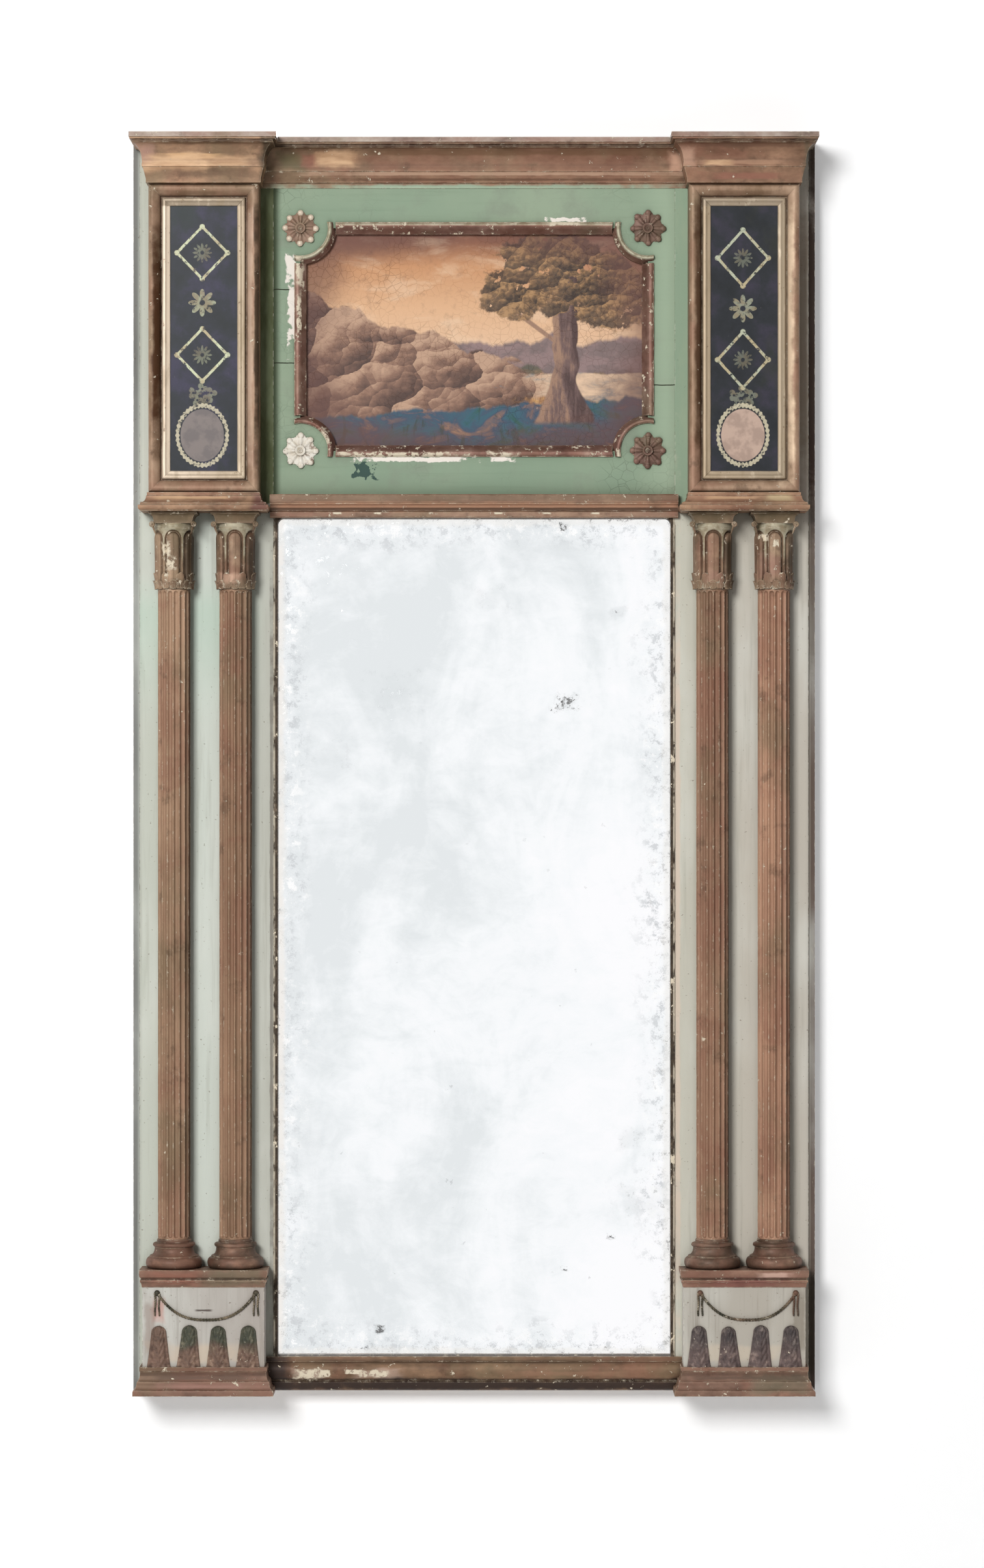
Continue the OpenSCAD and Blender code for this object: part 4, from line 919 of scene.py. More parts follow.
# The centre cornice: green paint over its lower edge; the dark bands along its top and foot are painted
# shade, the light band is a painted highlight, the dark patch at its left end is a painted shadow of the left
# block and the light patch at its right end a painted highlight; the pale patch on the cove is partly worn
# ground and partly a painted highlight, the reddish one a stain.
cornice_gilding = gilding("cornice_bronze_centre", ((150, 120, 96), (127, 100, 80), (88, 64, 48)), chips=1.2,
                          gold=[(-0.172, 1.526, 0.036, 0.012)],
                          stains_and_painted_light=[(0, low.z, 0.3, green_share * tall, (140, 156, 134), 1.0),
                                  (0.03, 1.5435, 0.3, 0.005, (88, 64, 50), 0.65),
                                  (0.03, 1.534, 0.3, 0.0045, (98, 72, 50), 0.6),
                                  (0.03, 1.5085, 0.3, 0.0028, (186, 154, 130), 0.65),
                                  (0.03, 1.5015, 0.3, 0.0022, (78, 54, 40), 0.6),
                                  (0.252, 1.523, 0.012, 0.014, (190, 152, 128), 0.8),
                                  (-0.228, 1.522, 0.02, 0.014, (96, 88, 62), 0.7),
                                  (-0.205, 1.525, 0.012, 0.01, (140, 88, 74), 0.5)])
centre_line = [(0.03, 0), (0.03, green_share), (0.13, quirk)] + [p for p in cornice_line if p[1] > quirk]
straight_moulding("cornice_centre", cornice_gilding, centre_line,
                  lambda z: behind_return + float(np.interp(z, cornice_heights, cornice_reaches)))
lintel_bare = [(x, 1.0875, 0.006, 0.0015) for x in (-0.17, -0.12, -0.05, 0.03, 0.09, 0.15)]
# A light band low on the lintel and a darker band above it are painted light and shade along its profile; the
# bare spots are chips.
lintel_gilding = gilding("lintel_bronze", ((160, 132, 110), (138, 110, 92), (108, 84, 68)), chips=1.5,
                         bare=lintel_bare, stains_and_painted_light=[(0.0, 1.096, 0.5, 0.007, (190, 144, 116), 0.75),
                                                   (0.0, 1.1065, 0.5, 0.0055, (104, 88, 70), 0.55)])
lintel_line = ([(0.5, 0), (0.62, 0.05), (0.62, 0.24), (0.4, 0.3)] + arc(0.4, 0.34, 0.3, 0.22, False)
               + [(0.8, 0.6)] + arc(0.8, 0.62, 0.2, 0.16, True) + [(1, 0.94), (0.9, 1)])
straight_moulding("middle_moulding", lintel_gilding, lintel_line)
sill_bare = [(-0.208, 0.021, 0.014, 0.007), (-0.185, 0.022, 0.008, 0.005),
             (-0.122, 0.022, 0.022, 0.005), (-0.15, 0.024, 0.01, 0.003)]
# The dark patch at the left end beside the plinth is a painted shadow, and the dark band along the foot and
# the dark line under the top are painted shade; the pale patches are worn gilding and the brown one a stain.
sill_shade_and_stains = [(-0.246, 0.021, 0.022, 0.04, (50, 40, 36), 0.95),
               (0.0, 0.036, 0.25, 0.003, (78, 62, 48), 0.6),
               (-0.205, 0.021, 0.022, 0.008, (188, 166, 150), 0.7),
               (-0.125, 0.021, 0.036, 0.008, (176, 152, 136), 0.7),
               (0.0, 0.0075, 0.6, 0.0105, (50, 40, 36), 0.95),
               (0.12, 0.022, 0.1, 0.004, (146, 112, 90), 0.5)]
sill_gilding = gilding("sill_bronze", ((142, 112, 88), (114, 90, 70), (82, 62, 46)), chips=1.6,
                       bare=sill_bare, stains_and_painted_light=sill_shade_and_stains)
sill_line = ([(0.15, 0)] + arc(0.18, 0.01, 0.52, 0.26, True) + [(0.6, 0.3)]
             + arc(0.62, 0.34, 0.38, 0.22, True) + arc(1, 0.6, -0.5, 0.24, False) + [(0.4, 0.86), (0.36, 1)])
straight_moulding("bottom_moulding", sill_gilding, sill_line)
recoat(gilding("top_bronze", ((178, 166, 154), (150, 132, 121), (104, 88, 79)), chips=1.6), "top_board")
recoat(gilding("plain_bronze", ((152, 122, 97), (127, 100, 79), (96, 73, 56))),
       "frieze_block_left", "frieze_block_right")


# The panels: a bevelled frame of four mitred lengths on each block, a pale gilt slip inside
# it, and a glass painted blue-black behind, with gilt lozenges, a star, a bow and a medallion.
def four_lengths(outline, centre, offs, end_at, steps, amount, size):
    """Four shells round a rectangle. The outline's points are (in from the edge, out from the back),
    offs is how far the lengths lie from the centre and end_at how far a point runs along its side."""
    shells = []
    for turn in range(4):
        which = turn % 2
        rows = []
        for i in range(steps[which] + 1):
            row = []
            for inward, out in outline:
                along, rise = (2 * i / steps[which] - 1) * end_at(which, inward), offs[which] - inward
                for _ in range(turn):
                    along, rise = rise, -along
                row.append((centre[0] + along, centre[1] - out, centre[2] + rise))
            rows.append(row)
        points, faces = skin(rows)
        shells.append((uneven(points, amount, size), faces))
    return shells


def mitred_lengths(node, outline):
    low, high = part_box(node)
    halves = ((high.x - low.x) / 2, (high.z - low.z) / 2)
    step, hairline = 0.012, 0.00005
    return four_lengths(outline, ((low.x + high.x) / 2, high.y, (low.z + high.z) / 2), halves[::-1],
                        lambda which, inward: halves[which] - inward - hairline,
                        [round(2 * half / step) for half in halves], 0.0002, 0.02)


frame_width, frame_thick, slip_width, slip_thick = 0.0165, 0.012, 0.01, 0.005
crest, inner_foot, low_out = 0.0052, 0.015, 0.0018
frame_section = ([(0, 0)] + arc(0, 0.0065, crest, frame_thick - 0.0065, False, 8)
                 + arc(crest, frame_thick, inner_foot - crest, low_out - frame_thick, True)[1:]
                 + [(frame_width, low_out), (frame_width, 0)])
slip_section = ([(0, 0), (0, 0.0022)] + arc(0, 0.0022, 0.0024, slip_thick - 0.0022, False, 5)
                + [(0.004, slip_thick)]
                + [(0.004 + 0.0034 * i / 4, slip_thick - 0.0021 * math.sin(math.pi / 2 * i / 4))
                   for i in range(1, 5)]
                + [(slip_width - 0.0008, 0.0026), (slip_width, 0.002), (slip_width, 0)])


def slip_gilding(name, cx, half_w, lit_side, shaded_side):
    """Pale water gilding; its left and right long edges are tinted as painted light and shade, the left one
    lighter.
    """
    slip = Finish(name)
    side = slip.between(slip.x - cx, -0.8 * half_w, 0.8 * half_w)
    slip.tint = slip.mix(side, lit_side, shaded_side)
    # Painted shadow of the frame on the top slip.
    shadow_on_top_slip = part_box("panel_slip_left")[1].z - 0.0115
    slip.wash(slip.between(slip.z, shadow_on_top_slip, shadow_on_top_slip + 0.002), (156, 140, 120))
    streaks = slip.mottle((70, 70, 21), 5, 0.6)
    slip.wash(slip.between(streaks, 0.48, 0.68) * 0.55, (150, 132, 106))
    slip.wash(slip.between(streaks, 0.44, 0.32) * 0.35, (226, 210, 184))
    # Painted shade in the corners.
    slip.wash(slip.crevice(0.004) * 0.8, (64, 48, 32))
    grit = slip.flecks(0.64, 0.7, 210, 4, 0.65)
    slip.wash(grit * 0.6, (112, 86, 62))
    return slip.lay_on(0.42, streaks - grit, 0.0002, metal=0.15, gloss=0.2)


# The slips' left and right tints are painted light and shade.
slip_light_and_shade = {"left": ((212, 194, 172), (180, 162, 138)),
              "right": ((172, 153, 128), (156, 140, 118))}
# Painted light on the panel frames: the left members and the top members' inner slopes are darkened as
# painted shade, as is the outer right edge of the left frame, and the right members are lightened as painted
# highlights.
frame_light_and_shade = {"left": [(-0.39, 1.301, 0.0085, 0.185, (58, 30, 6), 0.95),
                         (-0.2672, 1.301, 0.0046, 0.19, (54, 42, 28), 0.9),
                         (-0.276, 1.301, 0.0045, 0.18, (206, 178, 156), 0.6),
                         (-0.333, 1.48, 0.06, 0.003, (104, 80, 60), 0.6)],
                "right": [(0.2785, 1.301, 0.0075, 0.185, (74, 50, 32), 0.9),
                          (0.3855, 1.301, 0.01, 0.185, (222, 196, 166), 0.9),
                          (0.333, 1.48, 0.06, 0.003, (112, 86, 66), 0.6)]}
for side in ("left", "right"):
    seat(carve("frame_lengths_" + side, mitred_lengths("panel_frame_" + side, frame_section)),
         gilding("frame_bronze_" + side, ((176, 148, 124), (154, 127, 104), (116, 92, 70)),
                 chips=1.2, along=(1.0, 1, 0.5), dirt_and_shade=0.0035, stains_and_painted_light=frame_light_and_shade[side]),
         "panel_frame_" + side)
    low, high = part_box("panel_slip_" + side)
    seat(carve("slip_lengths_" + side, mitred_lengths("panel_slip_" + side, slip_section)),
         slip_gilding("slip_gilt_" + side, (low.x + high.x) / 2, (high.x - low.x) / 2, *slip_light_and_shade[side]),
         "panel_slip_" + side)


def painted_glass(name, cx, high_up, fill, ground, tall, line_tint):
    """The glass with its gilt ornament; places are from the panel's centre, in metres."""
    pane = Finish(name)
    x = pane.x - cx
    wobble = (pane.mottle(160, 2, 0.5) - 0.5) * 0.0012
    x = x + wobble
    gilt = 0.0

    def line(distance, half_width):
        return pane.between(abs(distance), half_width * 1.25, half_width * 0.75)

    def away(px, pz, squash=1.0):
        across = x - px
        along = (pane.z - pz) * squash
        return across, along, reckon("SQRT", across * across + along * along)

    def flower(px, pz, radius, petals, deep):
        across, along, far = away(px, pz)
        turn = reckon("ARCTAN2", along, across)
        wave = abs(reckon("COSINE", turn * (petals / 2)))
        rim = (wave * deep + (1 - deep)) * radius
        inside = pane.between(far - rim, 0.0005, -0.0005)
        eye = pane.between(far, radius * 0.16, radius * 0.24)
        return inside * eye

    half_w, half_h = 0.0312, tall
    for up in (high_up[0], high_up[2]):
        across = abs(x) / half_w
        along = abs(pane.z - up) / half_h
        lozenge = (across + along - 1.0) * 0.024
        gilt = most(gilt, line(lozenge, 0.0017))
        for px, pz in ((half_w, up), (-half_w, up), (0, up + half_h), (0, up - half_h)):
            gilt = most(gilt, pane.between(away(px, pz)[2], 0.0038, 0.0026))
        gilt = most(gilt, flower(0, up, 0.012, 12, 0.55) * 0.24)
    gilt = most(gilt, flower(0, high_up[1], 0.017, 8, 0.62) * 0.55)
    for tilt, reach in ((-0.011, 0.01), (0.011, 0.01), (-0.006, 0.019), (0.006, 0.019), (0.0, 0.005)):
        loop = flower(tilt, high_up[3] + 0.014 - reach, 0.0075, 3, 0.6)
        gilt = most(gilt, loop * 0.32)
    across, along, far = away(0, high_up[4], 0.83)
    medallion = 0.0305
    turn = reckon("ARCTAN2", along, across)
    beads = reckon("COSINE", turn * 40.0) * 0.0006 + 0.0021
    border = pane.between(abs(far - medallion) - beads, 0.0004, -0.0004)
    filled = pane.between(far, medallion - 0.0032, medallion - 0.0042)
    clouds = pane.mottle(26, 5, 0.6)
    pane.tint = pane.tone(clouds, [(0.34, ground[0]), (0.5, ground[1]), (0.66, ground[2])])
    greenish = pane.flecks(0.52, 0.68, (19, 19, 13.3), 4, 0.6)
    pane.wash(greenish * 0.5, ground[3])
    pane.wash(filled, pane.mix(pane.flecks(0.4, 0.6, 60), fill[0], fill[1]))
    rubbed = pane.flecks(0.66, 0.5, 190, 4, 0.65)
    gold = pane.mix(pane.flecks(0.42, 0.6, 60), line_tint, (180, 166, 132))
    pane.wash(gilt * rubbed, gold)
    pane.wash(border * rubbed * 0.8, (206, 196, 168))
    flaked = pane.flecks(0.7, 0.73, 120, 5, 0.7)
    pane.wash(flaked * 0.5, (120, 112, 110))
    return pane.lay_on(0.35, clouds, 0.0001, gloss=0.15, coat=0.2)


blue_black = ((15, 21, 25), (25, 29, 38), (46, 43, 65), (25, 38, 36))
warm_black = ((16, 20, 24), (28, 31, 37), (46, 42, 56), (40, 42, 32))
panel_heights = {"left": (1.4067, 1.3452, 1.2808, 1.23, 1.1817),
                 "right": (1.4003, 1.338, 1.2749, 1.227, 1.182)}
for side, centre, fill, ground, tall, line_tint in (
        ("left", -0.335, ((125, 115, 111), (109, 101, 99)), blue_black, 0.0322, (202, 206, 172)),
        ("right", 0.3315, ((188, 162, 146), (166, 142, 128)), warm_black, 0.0345, (180, 184, 160))):
    recoat(painted_glass("painted_glass_" + side, centre, panel_heights[side], fill, ground, tall, line_tint),
           "panel_glass_" + side)


# The picture's moulding: a bead with a slope inside it, in four straight lengths and four
# lathe-turned quarters round the hollow corners. Much of its gilding has gone down to the gesso.
def bow(x, z, wide, tall, degrees):
    """Points of a round about (x, z)."""
    return [(x + wide * math.cos(math.radians(a)), z + tall * math.sin(math.radians(a))) for a in degrees]


def surround_section(wide, out, board, tongue):
    """Points (in from the outer edge, out from the board) of the moulding and its hidden tongue."""
    bead = bow(0.3 * wide, 0.5 * out, 0.24 * wide, 0.5 * out, range(180, 59, -12))
    return [(0, 0), (0, 0.45 * out)] + bead + [
        (0.6 * wide, 0.42 * out), (0.66 * wide, 0.2 * out), (0.9 * wide, -0.28 * board), (wide, -0.4 * board),
        (wide, -board), (tongue, -board), (tongue, 0)]


surround_low, surround_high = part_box("picture_moulding")
board_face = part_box("frieze_board")[0].y
board_thick = surround_high.y - board_face
surround_out = board_face - surround_low.y
picture_up = (surround_low.z + surround_high.z) / 2
rosette_low, rosette_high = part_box("rosette_top_right")
rosette_x = (rosette_low.x + rosette_high.x) / 2
rosette_z = (rosette_low.z + rosette_high.z) / 2 - picture_up
straight_wide, ring_wide, ring_outer = 0.0145, 0.01, 0.044
edge_x = surround_high.x
edge_z = surround_high.z - picture_up
hairline = 0.00005
straight = surround_section(straight_wide, surround_out, board_thick, 0.00745)
rosette_ways, edge_ways = (rosette_x, rosette_z), (edge_z, edge_x)


def coped_end(which, inward):
    """How far a length runs along before it meets the ring that it is coped against."""
    past_ring = edge_ways[which] - inward - rosette_ways[1 - which]
    return rosette_ways[which] - math.sqrt((ring_outer + hairline) ** 2 - past_ring ** 2)


surround_shells = four_lengths(straight, (0, board_face, picture_up), edge_ways, coped_end, (44, 44),
                               0.0003, 0.012)
ring = surround_section(ring_wide, surround_out, board_thick, 0.0052)
# The inner slope of the moulding is darkened as painted shade.
slope_grime = [0.0] * 11 + [0.2, 0.35] + [0.5] * (len(straight) - 13)
surround_grime = slope_grime * 45 * 4 + slope_grime * 29 * 4
pale_bead = [1.0] * 10 + [0.0] * (len(straight) - 10)
pale_ring = [1.4] * 13 + [0.0] * (len(ring) - 13)
plain_bead = [0.0] * len(straight)
surround_pale = pale_bead * 45 + plain_bead * 45 * 3
for side_z in (-1, 1, -1, 1):
    surround_pale += (pale_ring if side_z > 0 else plain_bead) * 29
past_centre = edge_x - rosette_x
for side_x in (-1, 1):
    for side_z in (-1, 1):
        rows = []
        for i in range(29):
            row = []
            for inward, out in ring:
                radius = ring_outer - ring_wide + inward
                spare = math.asin((past_centre if out >= 0 else 0.00005) / radius)
                turn = -spare + (math.pi / 2 + 2 * spare) * i / 28
                row.append((side_x * (rosette_x - radius * math.cos(turn)), board_face - out,
                            picture_up + side_z * (rosette_z - radius * math.sin(turn))))
            rows.append(row)
        points, faces = skin(rows)
        surround_shells.append((uneven(points, 0.0003, 0.012), faces))
surround_bare = [(-0.2165, 1.392, 0.0055, 0.024), (-0.217, 1.335, 0.003, 0.03),
                 (0.114, 1.4475, 0.022, 0.0035), (-0.1, 1.159, 0.085, 0.005),
                 (0.035, 1.159, 0.018, 0.005), (-0.19, 1.182, 0.012, 0.01), (0.185, 1.16, 0.01, 0.004)]
seat(carve("picture_surround", surround_shells, grime=surround_grime, field=surround_pale),
     gilding("surround_bronze", ((176, 146, 130), (140, 106, 94), (94, 62, 54)),
             chips=3.0, bare=surround_bare, along=(0.8, 1, 0.8), fields=True, dirt_and_shade=0.004),
     "picture_moulding")


# The rosettes: eight carved petals, each a ridge that ends in a round knob, lie over a plate
# round a hollowed eye. The one at the lower left has lost its gilding and is white gesso.
class Growth(Tree):
    """A Geometry Nodes tree with named sizes. It makes a plain mesh and is then done with."""

    def __init__(self, name, **sizes):
        super().__init__(bpy.data.node_groups.new(name, "GeometryNodeTree"))
        self.sockets = {}
        self.tree.interface.new_socket("Piece", in_out="INPUT", socket_type="NodeSocketGeometry")
        for key, kind in sizes.items():
            made = self.tree.interface.new_socket(key, in_out="INPUT", socket_type="NodeSocket" + kind)
            self.sockets[key] = made.identifier
        self.tree.interface.new_socket("Grown", in_out="OUTPUT", socket_type="NodeSocketGeometry")
        outputs = lay(self.tree, "NodeGroupInput").outputs
        self.given = {socket.name: Value(self.tree, socket) for socket in outputs}

    def end(self, grown):
        """Realizes the copies, paints them with the given material and closes the tree."""
        real = self.lay("GeometryNodeRealizeInstances", {0: grown})
        painted = self.lay("GeometryNodeSetMaterial", {0: real, "Material": self.given["Material"]})
        lay(self.tree, "NodeGroupOutput", {0: painted})
        return self

    def grow(self, name, start, place, sizes, sharp=40.0, back=None):
        """Runs the tree on a mesh and puts the result at a place, planed off behind back."""
        carrier = bpy.data.objects.new(name + "_start", start)
        bpy.context.scene.collection.objects.link(carrier)
        modifier = carrier.modifiers.new("grow", "NODES")
        modifier.node_group = self.tree
        for key, value in sizes.items():
            modifier[self.sockets[key]] = value
        seen = carrier.evaluated_get(bpy.context.evaluated_depsgraph_get())
        mesh = bpy.data.meshes.new_from_object(seen)
        carrier.modifiers.remove(modifier)
        bpy.data.objects.remove(carrier)
        for corner in mesh.vertices:
            corner.co = corner.co + Vector(place)
            if back is not None and corner.co.y > back:
                corner.co.y = back
        mesh.shade_smooth()
        mesh.set_sharp_from_angle(angle=math.radians(sharp))
        made = bpy.data.objects.new(name, mesh)
        bpy.context.scene.collection.objects.link(made)
        return made


def copies_tree(name, axis):
    """Copies of the piece in a row and turned about an axis, none quite like the next."""
    growth = Growth(name, Count="Int", First="Float", Turn="Float", Step="Float", Uneven="Float",
                    Seed="Int", Material="Material")
    given = growth.given
    line = growth.lay("GeometryNodeMeshLine", {"Count": given["Count"], "Offset": (0, 0, 0)})
    index = growth.lay("GeometryNodeInputIndex")
    middle = (given["Count"] - 1.0) / 2.0
    along = (index - middle) * given["Step"]
    offset = growth.lay("ShaderNodeCombineXYZ", {0: along})
    points = growth.lay("GeometryNodeSetPosition", {"Geometry": line, "Offset": offset})
    wobble = growth.lay("FunctionNodeRandomValue", {2: -1.0, 3: 1.0, "ID": index, "Seed": given["Seed"]},
                        out=1, data_type="FLOAT")
    angle = index * given["Turn"] + given["First"]
    angle = angle + wobble * given["Uneven"]
    turned_by = growth.lay("ShaderNodeCombineXYZ", {axis: angle})
    scale = 1.0 + wobble * (given["Uneven"] * 0.6)
    spread = growth.lay("GeometryNodeInstanceOnPoints", {"Points": points, "Instance": given["Piece"],
                                                         "Rotation": turned_by, "Scale": scale})
    return growth.end(spread)


def relief(width_at, length, height_at, across=13, along=25):
    """A leaf as rows of closed outlines: it grows from z = 0 to length and stands out to -y."""
    rows = []
    for i in range(along):
        v = i / (along - 1)
        half = width_at(v)
        front = [(half * (2 * j / (across - 1) - 1), -height_at(2 * j / (across - 1) - 1, v), v * length)
                 for j in range(across)]
        back = [(half * (1 - 2 * j / (across - 1)), 0.0, v * length) for j in range(across)]
        rows.append(front + back[1:-1])
    return skin(rows)


def mesh_of(name, shells, **marks):
    """Only the mesh of a carving, for a tree to copy."""
    piece = carve(name, shells, **marks)
    mesh = piece.data
    bpy.data.objects.remove(piece)
    return mesh


def ball(centre, radius, squash=1.0, rings=9, sides=14):
    """A closed round knob, flattened towards the front by squash."""
    rows = []
    for i in range(1, rings):
        polar = math.pi * i / rings
        ring_radius, level = radius * math.sin(polar), -radius * math.cos(polar)
        rows.append([(centre[0] + ring_radius * math.cos(2 * math.pi * j / sides),
                      centre[1] + squash * ring_radius * math.sin(2 * math.pi * j / sides),
                      centre[2] + level) for j in range(sides)])
    return skin(rows)


rosette_half = (rosette_high.x - rosette_low.x) / 2
petal_out = 0.005
petal_start, petal_length = 0.25 * rosette_half, 0.6 * rosette_half


def petal_width(v):
    return rosette_half * (0.1 + 0.2 * math.sin(math.pi * min(1.0, 0.52 * v + 0.16)) ** 1.2 - 0.05 * v ** 4)


def petal_height(u, v):
    ridge = 0.62 + 0.38 * math.cos(math.pi * u * 1.5) * (1 - 0.35 * v)
    swell = 0.5 + 0.42 * math.sin(math.pi * (0.15 + 0.7 * v))
    return petal_out * max(0.12, ridge * (1 - abs(u) ** 5) * swell)


petal_points, petal_faces = relief(petal_width, petal_length, petal_height, 13, 17)
knob_centre = (0, -0.42 * petal_out, 0.83 * rosette_half)
knob_points, knob_faces = ball(knob_centre, 0.168 * rosette_half, 0.62, 11, 18)
petal = [([(x, y, z + petal_start) for x, y, z in petal_points], petal_faces), (knob_points, knob_faces)]
knob_worn = [0.0] * len(petal_points) + [1.0] * len(knob_points)
petal_mesh = mesh_of("petal", petal, worn=knob_worn)
plain_petal_mesh = mesh_of("plain_petal", petal)
round_copies = copies_tree("copies_round_the_front", 1)


def revolved(profile, centre, sides=48, flat=False):
    """Rows of a turned piece from (radius, height) points; flat turns it to face the front."""
    rows = []
    for radius, height in profile:
        row = []
        for j in range(sides):
            turn = 2 * math.pi * j / sides
            a, b = radius * math.cos(turn), radius * math.sin(turn)
            row.append((centre[0] + a, centre[1] - height, centre[2] + b) if flat
                       else (centre[0] + a, centre[1] + b, centre[2] + height))
        rows.append(row)
    return skin(rows)


def rosette_centre(middle):
    """The plate under the petals, the ring of small beads and the hollowed eye."""
    r, out = rosette_half, petal_out
    shells = [revolved([(0.8 * r, 0), (0.8 * r, 0.18 * out), (0.76 * r, 0.3 * out), (0.3 * r, 0.34 * out)],
                       middle, 64, True),
              revolved([(0.3 * r, 0), (0.3 * r, 0.9 * out), (0.26 * r, 1.12 * out), (0.2 * r, 1.05 * out),
                        (0.15 * r, 0.72 * out), (0.06 * r, 0.62 * out)], middle, 40, True)]
    for i in range(7):
        turn = 2 * math.pi * i / 7 + 0.3
        shells.append(ball((middle[0] + 0.085 * r * math.cos(turn), middle[1] - 0.72 * out,
                            middle[2] + 0.085 * r * math.sin(turn)), 0.042 * r, 1.0, 7, 10))
    return shells


def join(name, first, second):
    """One object of two."""
    work = bmesh.new()
    work.from_mesh(first.data)
    work.from_mesh(second.data)
    work.to_mesh(first.data)
    work.free()
    bpy.data.objects.remove(second)
    first.data.shade_smooth()
    first.data.set_sharp_from_angle(angle=math.radians(42))
    first.name = name
    return first


rosette_bronze = gilding("rosette_bronze", ((182, 156, 138), (148, 120, 104), (96, 74, 58)),
                         chips=0.9, along=(1, 1, 1))
rosette_brown = gilding("rosette_brown", ((146, 118, 104), (116, 90, 80), (74, 60, 50)),
                        chips=0.5, along=(1, 1, 1), pale=0.3)
chalk = Finish("bare_gesso")
chalk.tint = chalk.tone(chalk.mottle(120, 5, 0.6), [(0.35, (214, 204, 186)), (0.6, (238, 233, 222))])
chalk.wash(chalk.flecks(0.58, 0.66, 70, 4) * 0.8, (126, 100, 82))
# Painted shade in the corners.
chalk.wash(chalk.crevice(0.006) * 0.8, (112, 98, 82))
chalk_white = chalk.lay_on(0.9, chalk.mottle(260, 4, 0.6), 0.0004, gloss=0.2)
rosettes = (("rosette_top_left", rosette_bronze), ("rosette_top_right", rosette_brown),
            ("rosette_bottom_left", chalk_white), ("rosette_bottom_right", rosette_brown))
for number, (node, finish) in enumerate(rosettes):
    low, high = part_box(node)
    middle = ((low.x + high.x) / 2, high.y, (low.z + high.z) / 2)
    start = petal_mesh if finish is rosette_bronze else plain_petal_mesh
    sizes = {"Count": 8, "First": 0.0, "Turn": math.pi / 4, "Step": 0.0, "Uneven": 0.05,
             "Seed": 11 + number, "Material": finish}
    petals = round_copies.grow("petals_" + node, start.copy(), middle, sizes, back=high.y)
    flower = join("carved_" + node, petals, carve("eye_" + node, rosette_centre(middle)))
    seat(flower, finish, node)


# The columns' bases: turned wood with a heavy torus, a hollow and a small round above it. Each
# is gilded, and planed off flat behind to be glued to its board.
def turned(name, profile, centre, back):
    """A turned piece whose rear is planed off flat against the boards."""
    sides = 144
    points, faces = revolved(profile, centre, sides)
    points = uneven(points, 0.00025, 0.018)
    return carve(name, [([(x, min(y, back), z) for x, y, z in points], faces)], 30)


base_r = (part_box("shaft_outer_left")[1].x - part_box("shaft_outer_left")[0].x) / 2
column_out = 0.018


def column_place(node):
    """A node's box and the foot of the turned piece's axis in it."""
    low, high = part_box(node)
    return low, high, ((low.x + high.x) / 2, high.y - column_out, low.z)


def base_profile(r, h):
    widest, torus_half, ring_r = r + 0.0045 + 0.29 * h, 0.19 * h, 0.075 * h
    scoop = widest - 0.15 * h - r - 0.004
    return ([(widest - 0.1 * h, 0)]
            + bow(widest - 0.12 * h, torus_half, 0.12 * h, torus_half, range(-80, 91, 17))
            + [(widest - 0.13 * h, 0.39 * h), (widest - 0.13 * h, 0.43 * h)]
            + bow(r + 0.004 + scoop, 0.7 * h, scoop, -0.26 * h, range(90, 181, 15))
            + [(r + 0.0042, 0.715 * h)]
            + bow(r + 0.0036, 0.8 * h, ring_r, ring_r, range(-80, 81, 20))
            + [(r + 0.0012, 0.89 * h), (r + 0.0012, 0.97 * h), (r, h)])


places = ("outer_left", "inner_left", "inner_right", "outer_right")
base_bronze = gilding("base_bronze", ((140, 110, 92), (103, 82, 69), (60, 52, 41)),
                      chips=1.0, along=(0.8, 1, 1.2))
for place in places:
    low, high, axis = column_place("base_" + place)
    base = turned("turned_base_" + place, base_profile(base_r, high.z - low.z), axis, high.y)
    seat(base, base_bronze, "base_" + place)


